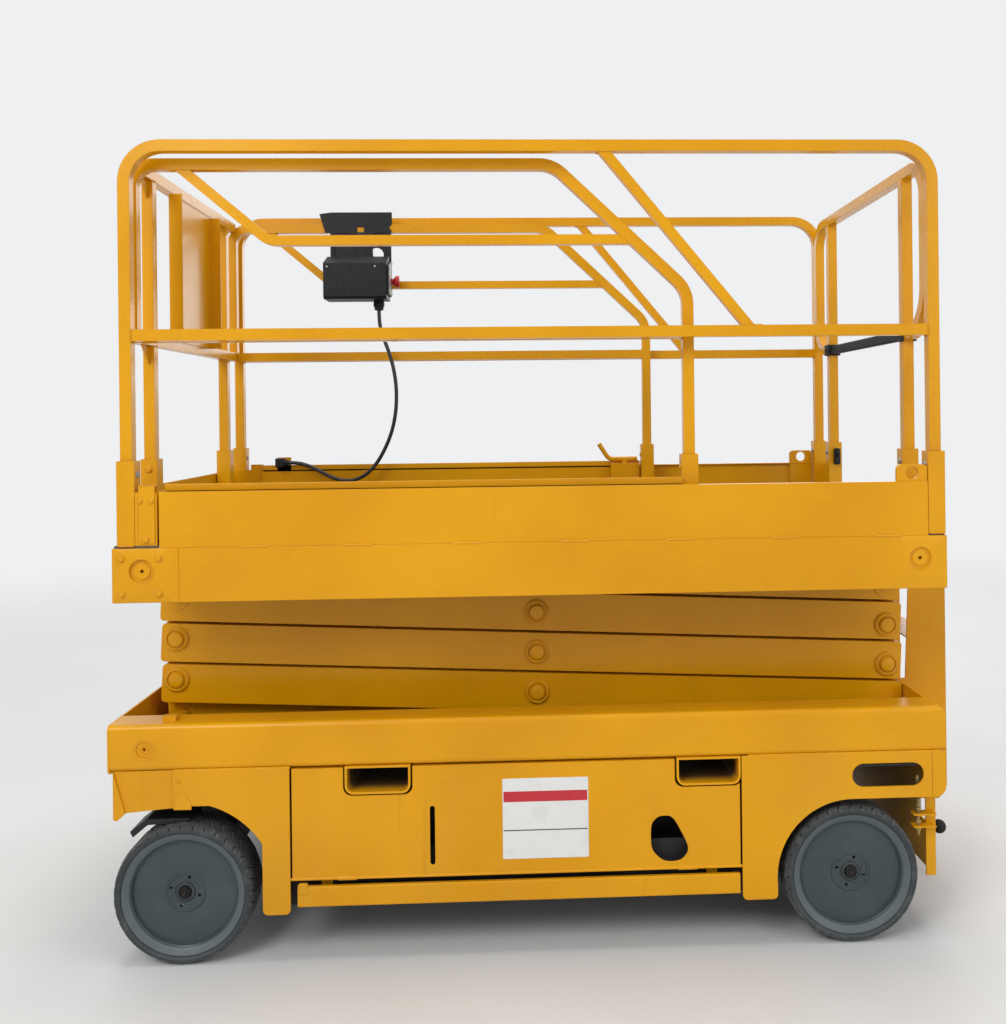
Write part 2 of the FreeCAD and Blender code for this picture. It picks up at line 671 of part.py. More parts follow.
def make_door(side):
    """Bottom-hinged tray door with cut-outs round the fork pockets, a lock hole and a slit."""
    top = beam_bottom - door_gap
    y0 = -side_y + door_recess
    face = box(door_front_x, door_rear_x, y0, y0 + thin_sheet, door_bottom, top)
    lip = box(door_front_x, door_rear_x, y0, y0 + door_return, top - thin_sheet, top)
    edges = [box(x, x + thin_sheet, y0, y0 + door_return, door_bottom + 8, top)
             for x in (door_front_x, door_rear_x - thin_sheet)]
    door = join([face, lip] + edges)
    for x in pocket_centres:
        gap = free_gap
        cut = box(x - pocket_width / 2 - gap, x + pocket_width / 2 + gap, -side_y - 1, y0 + door_return + 1,
                  beam_bottom - pocket_height - gap, top + 1)
        cut = round_edges(cut, pocket_corner, vec(0, 1, 0), lambda p: p.z < top)
        door = door.cut(cut)
    low, high = slit_bottom + slit_width / 2, slit_top - slit_width / 2
    y1 = y0 + thin_sheet + 1
    slit = [box(slit_x - slit_width / 2, slit_x + slit_width / 2, -side_y - 1, y1, low, high)]
    slit += [rod_y(slit_x, -side_y - 1, y1, z, slit_width / 2) for z in (low, high)]
    door = door.cut(join(slit))
    door = door.cut(handle_hole(-side_y - 1, y1))
    hinge_y = -side_y + hinge_knuckle
    bar = rod_x(door_front_x - 24, door_rear_x + 24, hinge_y, door_bottom - 1, hinge_radius)
    knuckles = [rod_x(x - 26, x + 26, hinge_y, door_bottom - 1, hinge_knuckle)
                for x in (door_front_x + 150, door_rear_x - 149)]
    near = join([door, bar] + knuckles)
    return [near if side < 0 else mirrored(near)]


def make_pothole_guard(side):
    """Bar that drops towards the floor when the platform is raised."""
    y0 = -side_y + 2.0
    top = guard_bottom + guard_height
    bar = box(guard_front_x, guard_rear_x, y0, y0 + guard_thickness, guard_bottom, top)
    bar = round_edges(bar, 5.0, vec(1, 0, 0), lambda p: p.y < y0 + 1)
    inner = -side_y + guide_depth
    foot = box(guard_front_x + 20, guard_rear_x - 20, y0 + guard_thickness, inner,
               guard_bottom, guard_bottom + 5)
    slides = [box(x, x + guide_width, inner - guide_thickness, inner, guard_bottom, top + guard_travel)
              for x in guide_places]
    near = join([bar, foot] + slides)
    return [near if side < 0 else mirrored(near)]


# Scissor stack

def arm_point(stack, is_inner, s, rise):
    """A point on an arm at rest: s along its pin line from the front pin, rise above that line."""
    front_z = base_pin_z + (stack - (1 if is_inner else 0)) * pitch
    slope = stowed if is_inner else -stowed
    return (pivot_x + s * math.cos(slope) - rise * math.sin(slope),
            front_z + s * math.sin(slope) + rise * math.cos(slope))


def arm_bar(stack, is_inner, y_out):
    """One arm: a closed box section with round-cornered ends and a boss at each of its three pins."""
    way = 1 if is_inner else -1
    half = arm_height / 2
    ends = ((-arm_overhang, way * pin_offset), (pin_distance + arm_overhang, -way * pin_offset))
    corners = [arm_point(stack, is_inner, s, rise + up * half) for (s, rise), up in
               ((ends[0], -1), (ends[1], -1), (ends[1], 1), (ends[0], 1))]
    bar = plate_xz(corners, -y_out, -y_out + arm_width)
    bar = round_edges(bar, arm_end_corner, vec(0, 1, 0))
    bosses = []
    for s in (0.0, pin_distance / 2, pin_distance):
        x, z = arm_point(stack, is_inner, s, 0.0)
        inward = arm_side_gap / 2 - seat_gap / 2
        outside, inside = (inward, 0.0) if is_inner else (boss_stand, inward)
        bosses.append(rod_y(x, -y_out - outside, -y_out + arm_width + inside, z, boss_radius))
    return join([bar] + bosses)


def through_shaft(stack, is_inner, s, reach):
    x, z = arm_point(stack, is_inner, s, 0.0)
    return rod_y(x, -reach, reach, z, pin_radius)


def drilled(shape, stack, is_inner, s, gap):
    x, z = arm_point(stack, is_inner, s, 0.0)
    return shape.cut(rod_y(x, -side_y, side_y, z, pin_radius + gap))


def roller_pair(stack, is_inner, s, roller_y):
    """Shaft from the arms out to a roller inside each side beam."""
    x, z = arm_point(stack, is_inner, s, 0.0)
    rollers = []
    for side in (-1, 1):
        rollers.append(rod_y(x, side * roller_y, side * (roller_y + roller_width), z, roller_radius))
        rollers.append(rod_y(x, side * inner_arm_y, side * roller_y, z, pin_radius))
    return rollers


def cylinder_lugs(stack, s):
    """Two stub tubes between an inner arm pair, each ending in a lug for one eye of the lift cylinder."""
    x, z = arm_point(stack, True, s, 0.0)
    lugs = []
    for side in (-1, 1):
        y0 = side * (eye_width / 2 + lug_gap)
        y1 = y0 + side * lug_thickness
        lugs.append(rod_y(x, y0, y1, z, lug_radius))
        lugs.append(rod_y(x, y1, side * (inner_arm_y - arm_width / 2), z, tie_tube_radius + 4))
    return lugs


def make_inner_arms(stack):
    near = arm_bar(stack, True, inner_arm_y)
    arms = near.fuse(mirrored(near))
    arms = drilled(arms, stack, True, 0.0, run_gap)
    if stack < stack_count:
        arms = drilled(arms, stack, True, pin_distance, open_pin_gap)
    parts = [arms]
    if stack == 1:
        parts += cylinder_lugs(stack, barrel_eye_s)
    if stack == 3:
        parts += cylinder_lugs(stack, rod_eye_s)
    for s in tie_tube_places[stack]:
        x, z = arm_point(stack, True, s, 0.0)
        parts.append(rod_y(x, -inner_arm_y + arm_width / 2, inner_arm_y - arm_width / 2, z, tie_tube_radius))
    x, z = arm_point(stack, True, pin_distance / 2, 0.0)
    for side in (-1, 1):
        parts.append(rod_y(x, side * (inner_arm_y - arm_width), side * (outer_arm_y + boss_stand + 4), z,
                           pin_radius))
    if stack == stack_count:
        parts.append(through_shaft(stack, True, pin_distance, outer_arm_y + boss_stand))
        parts += roller_pair(stack, True, pin_distance, top_roller_y)
    whole = join(parts)
    if stack == 1:
        eye_x, eye_z = arm_point(stack, True, barrel_eye_s, 0.0)
        inside = eye_width / 2 + lug_gap + lug_thickness + 6
        whole = whole.cut(rod_y(eye_x, -inside, inside, eye_z, eye_pin_radius + run_gap))
    return [whole]


def make_outer_arms(stack):
    near = arm_bar(stack, False, outer_arm_y)
    arms = near.fuse(mirrored(near))
    arms = drilled(arms, stack, False, pin_distance / 2, run_gap)
    parts = [arms]
    if stack < stack_count:
        parts.append(through_shaft(stack, False, 0.0, outer_arm_y + boss_stand + 4))
    else:
        parts[0] = drilled(parts[0], stack, False, 0.0, run_gap)
    parts.append(through_shaft(stack, False, pin_distance, outer_arm_y + boss_stand + 4))
    if stack == 1:
        parts += roller_pair(stack, False, pin_distance, base_roller_y)
    return [join(parts)]


def cylinder_line():
    """Eye of the barrel, direction to the rod's eye and the stowed length between the two."""
    bx, bz = arm_point(1, True, barrel_eye_s, 0.0)
    rx, rz = arm_point(3, True, rod_eye_s, 0.0)
    length = math.hypot(rx - bx, rz - bz)
    return bx, bz, (rx - bx) / length, (rz - bz) / length, length


def along_cylinder(distance):
    bx, bz, dx, dz, _ = cylinder_line()
    return bx + dx * distance, bz + dz * distance


def rod_along(start, end, radius):
    x, z = along_cylinder(start)
    _, _, dx, dz, _ = cylinder_line()
    return Part.makeCylinder(radius, end - start, vec(x, 0, z), vec(dx, 0, dz))


def make_barrel():
    """Barrel with its eye and the pin that turns in the first inner arm's lugs."""
    length = cylinder_line()[4]
    x, z = along_cylinder(0.0)
    tube = rod_along(60.0, length - 105.0, barrel_radius)
    cap = rod_along(20.0, 60.0, eye_width / 2 - 2)
    gland = rod_along(length - 105.0, length - 85.0, barrel_radius + 6)
    eye = rod_y(x, -eye_width / 2, eye_width / 2, z, eye_radius)
    reach = eye_width / 2 + lug_gap + lug_thickness
    pin = rod_y(x, -reach, reach, z, eye_pin_radius)
    bore = rod_along(90.0, length, rod_radius + run_gap)
    return [join([tube, cap, gland, eye, pin]).cut(bore)]


def make_rod():
    """Rod with its eye between the third inner arm's lugs, where the linkage is opened."""
    length = cylinder_line()[4]
    x, z = along_cylinder(length)
    rod = rod_along(100.0, length - 10.0, rod_radius)
    eye = rod_y(x, -eye_width / 2, eye_width / 2, z, eye_radius)
    return [join([rod, eye])]


# Platform

def make_platform_beams():
    """Folded channels along both sides, the end members, the roller tracks and the front pivot shaft."""
    inner = side_y - platform_flange
    parts = []
    for side in (-1, 1):
        beam = box(platform_front_x, platform_rear_x, side * side_y, side * inner,
                   platform_bottom, platform_top)
        hollow = box(platform_front_x - 1, platform_rear_x + 1, side * (side_y - sheet), side * (inner - 1),
                     platform_bottom + sheet, platform_top - sheet)
        parts.append(beam.cut(hollow))
        track_under = top_pin_z + roller_radius + seat_gap
        parts.append(box(rear_pin_x - track_length, platform_rear_x, side * (top_roller_y - 4), side * side_y,
                         track_under, platform_top))
        lug = plate_xz([(pivot_x - 50, platform_top), (pivot_x - 50, top_pin_z),
                        (pivot_x - 30, top_pin_z - 36), (pivot_x + 30, top_pin_z - 36),
                        (pivot_x + 90, platform_top)],
                       side * (outer_arm_y + 20), side * (outer_arm_y + 36))
        parts.append(lug)
        parts.append(rod_y(pivot_x, side * inner, side * side_y, top_pin_z, boss_radius - 4))
    # The front end member stays above the sweep of the arms' ends.
    for x0, bottom in ((platform_front_x, platform_top - 40), (platform_rear_x - sheet, platform_bottom)):
        parts.append(box(x0, x0 + sheet, -side_y + sheet, side_y - sheet, bottom, platform_top))
    parts.append(rod_y(pivot_x, -side_y, side_y, top_pin_z, pin_radius))
    whole = join(parts)
    for side in (-1, 1):
        end = side * (side_y + 1)
        for x in (pivot_x, rear_pin_x + 2):
            whole = whole.cut(ring_y(x, side * (side_y - 3), end, top_pin_z, boss_radius - 6, pin_radius))
            whole = whole.cut(rod_y(x, side * (side_y - 20), end, top_pin_z, 5))
    return [whole]


def make_deck():
    """Main deck sheet on the beams."""
    reach = side_y - thin_sheet
    return [box(platform_front_x + thin_sheet, platform_rear_x - thin_sheet, -reach, reach,
                platform_top, deck_top)]


def make_toe_boards():
    """Kick plates along both sides and across the rear, each with a folded top edge."""
    parts = []
    x0, x1 = platform_front_x + toe_board_inset, platform_rear_x - corner_post_rear - socket_size / 2 - 2
    for side in (-1, 1):
        parts.append(box(x0, x1, side * side_y, side * (side_y - thin_sheet), platform_top, toe_top))
        parts.append(box(x0, x1, side * side_y, side * (side_y - 16), toe_top - thin_sheet, toe_top))
        parts.append(box(platform_rear_x - thin_sheet, platform_rear_x, side * (side_y - socket_size - 8),
                         side * (cross_post_y + socket_size / 2 + 1), platform_top, toe_top))
        tab = box(tab_x - tab_width / 2, tab_x + tab_width / 2, side * (side_y - thin_sheet),
                  side * (side_y - 14), deck_top + 60, toe_top + 48)
        tab = round_edges(tab, 14.0, vec(0, 1, 0), lambda p: p.z > toe_top + 47)
        parts.append(tab)
    whole = join(parts[:4]), join(parts[4:])
    shapes = []
    for shape in whole:
        shapes.append(shape.cut(rod_y(tab_x, -side_y - 1, side_y + 1, toe_top + 24, tab_hole_radius)))
    return shapes


def socket(x, y, bottom, height):
    """Square tube that a guardrail post stands in."""
    half = socket_size / 2
    outer = box(x - half, x + half, y - half, y + half, bottom, bottom + height)
    bore = half - socket_wall
    return outer.cut(box(x - bore, x + bore, y - bore, y + bore, bottom + 8, bottom + height + 1))


def post_places():
    """Fixed guardrails' corner posts: front x, rear x and the distance from the machine's middle."""
    front, rear = platform_front_x + corner_post_front, platform_rear_x - corner_post_rear
    return front, rear, side_y - socket_size / 2 - 1


def make_rail_sockets():
    front, rear, y = post_places()
    shapes = []
    for side in (-1, 1):
        shapes.append(socket(front, side * y, deck_top, socket_height - deck_thickness))
        shapes.append(socket(rear, side * y, deck_top, socket_height - deck_thickness))
        shapes.append(socket(rear, side * cross_post_y, deck_top, socket_height - deck_thickness))
    return shapes


def make_guardrail(side):
    """Side hoop of square tube with a mid rail and a slanting brace."""
    front, rear, y = post_places()
    top = rail_top - rail_size / 2
    mid = mid_rail_top - rail_size / 2
    foot = deck_top + 8.5
    y = side * y
    half = rail_size / 2
    points = [vec(front, y, foot), vec(front, y, top), vec(rear, y, top), vec(rear, y, foot)]
    hoop = bent_bar(points, (rail_bend, rail_bend), rail_size, vec(0, 1, 0))
    rail = box(front, rear, y - half, y + half, mid - half, mid + half)
    brace = bent_bar([vec(brace_top_x, y, top), vec(brace_foot_x, y, mid)], (), rail_size - 4, vec(0, 1, 0))
    return [join([hoop, rail, brace])]


def make_rear_guardrail():
    """Tube across the entry end, down beside the corner posts and bent in to the entry posts."""
    _, rear, post_y = post_places()
    half = rail_size / 2
    y = post_y - rail_size - seat_gap
    top = rail_top - half - rail_size - 4
    mid = mid_rail_top - half
    foot = deck_top + 8.5
    points = [vec(rear, -cross_post_y, mid), vec(rear, -y, mid), vec(rear, -y, top), vec(rear, y, top),
              vec(rear, y, mid), vec(rear, cross_post_y, mid)]
    bends = (entry_low_bend, entry_top_bend, entry_top_bend, entry_low_bend)
    parts = [bent_bar(points, bends, rail_size, vec(1, 0, 0))]
    for y in (-cross_post_y, cross_post_y):
        parts.append(box(rear - half, rear + half, y - half, y + half, foot, top))
    return [join(parts)]


def make_gate_bar():
    """Sliding entry bar with a guide ring round each entry post."""
    _, rear, _ = post_places()
    z = mid_rail_top - rail_size / 2
    half = collar_height / 2
    ring = rail_size / 2 + collar_wall
    inner = rail_size / 2 + seat_gap
    bar = box(rear - 12, rear + 12, -cross_post_y + inner, cross_post_y - inner, z - 16, z + 16)
    parts = [round_edges(bar, 6.0, vec(0, 1, 0))]
    for side in (-1, 1):
        y = side * cross_post_y
        collar = box(rear - ring, rear + ring, y - ring, y + ring, z - half, z + half)
        slot = box(rear - inner, rear + inner, y - side * inner, y + side * (ring + 1),
                   z - half - 1, z + half + 1)
        pin = rod_x(rear - ring - 4, rear - ring, y, z, 5)
        parts += [round_edges(collar, 4.0, vec(0, 0, 1)).cut(slot), pin]
    return [join(parts)]


# Extension deck

def extension_front():
    return platform_front_x + rail_size / 2 + 6


def make_extension_deck():
    """Second deck that slides over the first on four runners."""
    x0, x1 = platform_front_x + 2, extension_rear_x
    y = extension_board_y
    low = deck_top + extension_runner_height
    parts = [box(x0, x1, -y, y, low, low + deck_thickness)]
    for side in (-1, 1):
        for place in (0.45, 0.85):
            inner = side * y * place
            parts.append(box(x0 + 40, x1 - 10, inner, inner + side * 40, deck_top + seat_gap, low))
    return [join(parts)]


def make_extension_boards():
    """Kick plates of the extension with the sockets of its posts."""
    x0, x1 = platform_front_x, extension_rear_x
    y = extension_board_y
    low = deck_top + extension_runner_height + deck_thickness
    top = toe_top
    parts = []
    for side in (-1, 1):
        parts.append(box(x0 + 118, x1 - 27, side * y, side * (y - thin_sheet), low, top))
    parts.append(box(x0, x0 + thin_sheet, -y, y, low, top))
    parts += [box(x0, x0 + 118, side * y, side * (y - 10), low, top) for side in (-1, 1)]
    parts.append(box(connector_x - 46, connector_x + 6, y - thin_sheet, y, low, connector_z + 20))
    return [join(parts)] + extension_sockets(low)


def extension_sockets(low):
    front = extension_front() + 10
    height = socket_height - 20
    shapes = []
    for side in (-1, 1):
        shapes.append(socket(front, side * front_post_y, low, height))
        shapes.append(socket(extension_rear_x - socket_size / 2, side * extension_post_y, low, height))
    return shapes


def make_extension_rail(side):
    """Side rail of the extension: top rail that slopes down to its rear post, lower rails inside it."""
    y = side * extension_post_y
    front = extension_front() + 10
    rear = extension_rear_x - socket_size / 2
    top = rail_top - rail_size / 2 - rail_size - 4
    low = deck_top + extension_runner_height + deck_thickness + 8.5
    mid = mid_rail_top - rail_size / 2
    points = [vec(front, y, mid), vec(front, y, top), vec(slope_top_x, y, top), vec(rear, y, slope_foot_z),
              vec(rear, y, low)]
    hoop = bent_bar(points, (60.0, extension_bend, extension_bend), rail_size, vec(0, 1, 0))
    half = rail_size / 2
    rail = box(front, rear, y - half, y + half, mid - half, mid + half)
    inner = bent_bar([vec(second_rail_start_x, y, top), vec(second_rail_bend_x, y, second_rail_z),
                      vec(second_rail_end_x, y, second_rail_z)], (60.0,), rail_size - 4, vec(0, 1, 0))
    return [join([hoop, rail, inner])]


def make_front_guardrail():
    """Front rail on two posts, between the side rails."""
    front = extension_front() + 10
    top = rail_top - rail_size / 2 - rail_size - 4
    mid = mid_rail_top - rail_size / 2
    low = deck_top + extension_runner_height + deck_thickness + 8.5
    half = rail_size / 2
    reach = extension_post_y - half - seat_gap
    parts = [box(front - half, front + half, -reach, reach, z - half, z + half) for z in (top, mid)]
    for y in (-front_post_y, front_post_y):
        parts.append(box(front - half, front + half, y - half, y + half, low, top))
    return [join(parts)]


def make_document_panel():
    """Folded panel on the front guardrail between its top and mid rails."""
    front = extension_front() + 10 + rail_size / 2 + seat_gap
    top = rail_top - 78
    bottom = mid_rail_top - 6
    face = box(front, front + 3, -255, 150, bottom, top)
    sides = [box(front, front + 40, y, y + 3, bottom, top) for y in (-255, 147)]
    return [join([face] + sides)]


def make_lock_lever():
    """Extension lock: a housing inside the far kick plate with a bent lever on it."""
    y = extension_board_y - thin_sheet
    base = deck_top + extension_runner_height + deck_thickness
    x = extension_rear_x - socket_size - 60.0
    housing = box(x - 55, x + 55, y - 30, y, base, toe_top + 10)
    grip_y, grip_z = y - 15, toe_top + 26
    points = [vec(x + 48, grip_y, grip_z), vec(x - 62, grip_y, grip_z), vec(x - 100, grip_y, grip_z + 60)]
    lever = bent_bar(points, (30.0,), 18, vec(0, 1, 0), True)
    post = rod_z(x, y - 15, toe_top, toe_top + 30, 12)
    return [join([housing, lever, post])]


def control_back_y():
    """Back of the control box, which is the inner face of its bracket."""
    return extension_post_y - rail_size / 2 - seat_gap - bracket_sheet


def make_control_bracket():
    """Plate folded over the extension's top rail, narrower below, with a square hole and two loops."""
    x0, x1 = control_x - 150, control_x + 123
    rail = rail_top - rail_size - 4
    top = rail + bracket_rise
    low = top - bracket_height
    face_y = control_back_y()
    far_y = extension_post_y + rail_size / 2 + seat_gap
    outline = [(x0, top - 6), (x0 + 44, top), (x1, top), (x1, top - 44), (x1 - 33, low), (x0 + 22, low)]
    plate = plate_xz(outline, face_y, face_y + bracket_sheet)
    plate = plate.cut(box(control_x - 9, control_x + 17, face_y - 1, face_y + bracket_sheet + 1,
                          rail - 30, rail - 11))
    fold = rail + seat_gap + bracket_sheet
    hook = box(x0 + 44, x1 - 8, face_y, far_y + bracket_sheet, rail + seat_gap, fold)
    back = box(x0 + 44, x1 - 8, far_y, far_y + bracket_sheet, rail - 24, fold)
    parts = [plate, hook, back]
    for x, half in ((control_x + 78, 42.0), (control_x - 60, 48.0)):
        loop = box(x - half, x + half, face_y - loop_thickness, face_y, control_top_z - 34, low + 26)
        loop = round_edges(loop, 24.0, vec(0, 1, 0))
        half -= 15.0
        hole = box(x - half, x + half, face_y - loop_thickness - 1, face_y + 1, control_top_z - 6, low - 2)
        parts.append(loop.cut(round_edges(hole, 18.0, vec(0, 1, 0))))
    return [join(parts)]


def make_control_box():
    """Housing with a lid that slopes down towards the deck, and a face plate at the button's end."""
    back = control_back_y() - loop_thickness - seat_gap
    front = back - control_depth
    low, high = control_top_z - control_height, control_top_z
    outline = [(front, low + 8), (front + 8, low), (back, low), (back, high), (back - 24, high),
               (front, low + control_front_height)]
    body = plate_yz(outline, control_x - control_width / 2, control_x + control_width / 2)
    end = control_x + control_width / 2
    inset = 9.0
    panel = plate_yz([(front + inset, low + 16), (back - inset, low + 16), (back - inset, high - 14),
                      (front + inset, low + control_front_height - 8)], end, end + face_plate)
    return [join([body, panel])]


def make_stop_button():
    """Mushroom button on the face plate."""
    y = cable_points[0][1]
    x = control_x + control_width / 2 + face_plate
    z = control_top_z - 98
    stem = rod_x(x, x + 12, y, z, stop_radius * 0.5)
    collar = Part.makeCone(stop_radius * 0.6, stop_radius, 8, vec(x + 12, y, z), vec(1, 0, 0))
    cap = rod_x(x + 20, x + 32, y, z, stop_radius)
    cap = cap.makeFillet(5.0, [edge for edge in cap.Edges if abs(edge.CenterOfMass.x - x - 32) < 0.1])
    return [join([stem, collar, cap])]


# The control cable's route from the gland to its connector, x, y, z
cable_points = ((-636, 436, 1893), (-636, 436, 1846), (-622, 437, 1795), (-602, 439, 1742), (-586, 442, 1684),
                (-577, 446, 1622), (-576, 451, 1558), (-583, 457, 1494), (-599, 464, 1432), (-624, 472, 1375),
                (-655, 480, 1322), (-693, 488, 1281), (-737, 495, 1258), (-785, 502, 1254), (-832, 508, 1268),
                (-876, 514, 1292), (-919, 519, 1313), (-962, 525, 1325), (-998, 525, 1325))
connector_x, connector_y, connector_z = cable_points[-1]


def make_control_cable():
    points = [vec(*point) for point in cable_points]
    radii = []
    for before, here, after in zip(points, points[1:], points[2:]):
        first, second = here - before, after - here
        turn = first.getAngle(second)
        radii.append(0.45 * min(first.Length, second.Length) / math.tan(turn / 2))
    cable = bent_bar(points, radii, 2 * cable_radius, vec(0, 1, 0), True)
    print("cable bend radii", [round(r) for r in radii])
    print("cable length", round(cable.Volume / (math.pi * cable_radius ** 2)))
    return [cable]


def make_cable_gland():
    x, y, z = cable_points[0]
    low = control_top_z - control_height
    nut_z = low - 16
    nut = Part.makeCone(12, 15, low - nut_z, vec(x, y, nut_z), vec(0, 0, 1))
    sleeve = Part.makeCone(cable_radius + 1, cable_radius + 4, nut_z - z, vec(x, y, z), vec(0, 0, 1))
    return [join([sleeve, nut])]


def make_cable_connector():
    nose = rod_x(connector_x - 18, connector_x, connector_y, connector_z, cable_radius + 4)
    body = box(connector_x - 46, connector_x - 16, connector_y - 17, extension_board_y - thin_sheet,
               connector_z - 17, connector_z + 17)
    return [join([nose, round_edges(body, 5.0, vec(1, 0, 0))])]


def write_node(name, shapes):
    solids = [solid for shape in shapes for solid in shape.Solids]
    whole = solids[0] if len(solids) == 1 else Part.makeCompound(solids)
    whole.exportStep("parts/" + name + ".step")
    box_of = whole.BoundBox
    ends = (box_of.XMin, box_of.XMax, box_of.YMin, box_of.YMax, box_of.ZMin, box_of.ZMax)
    print("%-24s solids %d  valid %s  X %.0f..%.0f  Y %.0f..%.0f  Z %.0f..%.0f" % (
        (name, len(solids), whole.isValid()) + ends))


def main():
    os.makedirs("parts", exist_ok=True)
    front_skirts, rear_skirts = make_skirts()
    front_frame, rear_frame = make_cross_frames()
    nodes = [
        ("side_beams", make_side_beams()),
        ("pivot_shaft", make_pivot_shaft()),
        ("end_plates", make_end_plates()),
        ("front_skirts", front_skirts),
        ("rear_skirts", rear_skirts),
        ("floor_pan", make_floor_pan()),
        ("front_frame", front_frame),
        ("rear_frame", rear_frame),
        ("fork_pockets", make_fork_pockets()),
        ("power_packs", make_power_packs()),
        ("front_axle", make_front_axle()),
        ("rear_axle", make_rear_axle()),
        ("ladder", make_ladder()),
        ("release_knob", make_release_knob()),
        ("knuckle_near", make_knuckle(-1)),
        ("knuckle_far", make_knuckle(1)),
        ("tie_rod", make_tie_rod()),
        ("door_near", make_door(-1)),
        ("door_far", make_door(1)),
        ("pothole_guard_near", make_pothole_guard(-1)),
        ("pothole_guard_far", make_pothole_guard(1)),
        ("lift_barrel", make_barrel()),
        ("lift_rod", make_rod()),
        ("platform_beams", make_platform_beams()),
        ("deck", make_deck()),
        ("toe_boards", make_toe_boards()),
        ("rail_sockets", make_rail_sockets()),
        ("guardrail_near", make_guardrail(-1)),
        ("guardrail_far", make_guardrail(1)),
        ("rear_guardrail", make_rear_guardrail()),
        ("gate_bar", make_gate_bar()),
        ("extension_deck", make_extension_deck()),
        ("extension_boards", make_extension_boards()),
        ("extension_rail_near", make_extension_rail(-1)),
        ("extension_rail_far", make_extension_rail(1)),
        ("front_guardrail", make_front_guardrail()),
        ("document_panel", make_document_panel()),
        ("lock_lever", make_lock_lever()),
        ("control_bracket", make_control_bracket()),
        ("control_box", make_control_box()),
        ("stop_button", make_stop_button()),
        ("cable_gland", make_cable_gland()),
        ("control_cable", make_control_cable()),
        ("cable_connector", make_cable_connector()),
    ]
    for x, axle in ((front_axle_x, "front"), (rear_axle_x, "rear")):
        for side, name in ((-1, "near"), (1, "far")):
            nodes.append(("tyre_%s_%s" % (axle, name), make_tyre(x, side)))
            nodes.append(("disc_%s_%s" % (axle, name), make_disc(x, side)))
    for stack in range(1, stack_count + 1):
        nodes.append(("inner_arms_%d" % stack, make_inner_arms(stack)))
        nodes.append(("outer_arms_%d" % stack, make_outer_arms(stack)))
    for name, shapes in nodes:
        write_node(name, shapes)


main()
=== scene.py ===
import math

import bmesh
import bpy
import numpy as np
from mathutils import Matrix, Vector


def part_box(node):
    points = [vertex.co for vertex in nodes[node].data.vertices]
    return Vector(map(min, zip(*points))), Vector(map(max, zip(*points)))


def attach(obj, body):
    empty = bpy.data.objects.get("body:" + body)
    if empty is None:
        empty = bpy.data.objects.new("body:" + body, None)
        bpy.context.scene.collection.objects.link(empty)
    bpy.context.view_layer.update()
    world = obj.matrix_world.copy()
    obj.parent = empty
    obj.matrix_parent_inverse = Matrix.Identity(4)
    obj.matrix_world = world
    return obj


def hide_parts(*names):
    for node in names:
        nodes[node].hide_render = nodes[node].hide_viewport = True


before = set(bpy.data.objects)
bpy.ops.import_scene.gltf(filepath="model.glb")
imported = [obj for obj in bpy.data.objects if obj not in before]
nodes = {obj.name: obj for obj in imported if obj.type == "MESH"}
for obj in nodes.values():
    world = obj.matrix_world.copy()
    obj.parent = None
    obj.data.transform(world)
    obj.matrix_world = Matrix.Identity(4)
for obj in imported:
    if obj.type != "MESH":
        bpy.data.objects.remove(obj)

# Scissor lift, dressed on its construction frame. Metres, +X towards the ladder, +Z up.

scene = bpy.context.scene
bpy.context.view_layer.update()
print("frame loaded:", len(nodes), "nodes")


def corners(name):  # lowest and highest corner of a node, as two arrays
    low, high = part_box(name)
    return np.array(low), np.array(high)


# Camera

cameraView = {
    "place": (-0.102, -3.493, 1.495),
    "right": (0.99902, -0.04432, -0.01134),
    "up": (0.01133, -0.0005, 1.0),
    "back": (-0.04432, -0.99902, 0.0),
    "lens": 36.615,
    "shift": (-0.0646, -0.0947),
}


def makeCamera(view):
    data = bpy.data.cameras.new("photoCamera")
    data.sensor_width = 36.0
    data.lens = view["lens"]
    data.shift_x, data.shift_y = view["shift"]
    camera = bpy.data.objects.new("photoCamera", data)
    turn = Matrix((view["right"], view["up"], view["back"])).transposed()
    camera.matrix_world = Matrix.Translation(view["place"]) @ turn.to_4x4()
    scene.collection.objects.link(camera)
    scene.camera = camera


makeCamera(cameraView)


# Shader maths

class Wire:  # the output of a node, so that shader maths reads as arithmetic
    def __init__(self, graph, socket):
        self.graph = graph
        self.socket = socket

    def calc(self, operation, other=0.0, swapped=False):
        pair = (other, self) if swapped else (self, other)
        return self.graph.add("ShaderNodeMath", {"operation": operation}, pair)

    def __add__(self, other):
        return self.calc("ADD", other)

    def __sub__(self, other):
        return self.calc("SUBTRACT", other)

    def __rsub__(self, other):
        return self.calc("SUBTRACT", other, swapped=True)

    def __mul__(self, other):
        return self.calc("MULTIPLY", other)

    def __truediv__(self, other):
        return self.calc("DIVIDE", other)

    def ramp(self, low, high):  # 0 below low, 1 above high, smooth between them
        return self.graph.add("ShaderNodeMapRange", {"interpolation_type": "SMOOTHSTEP"},
                              {"Value": self, "From Min": low, "From Max": high})


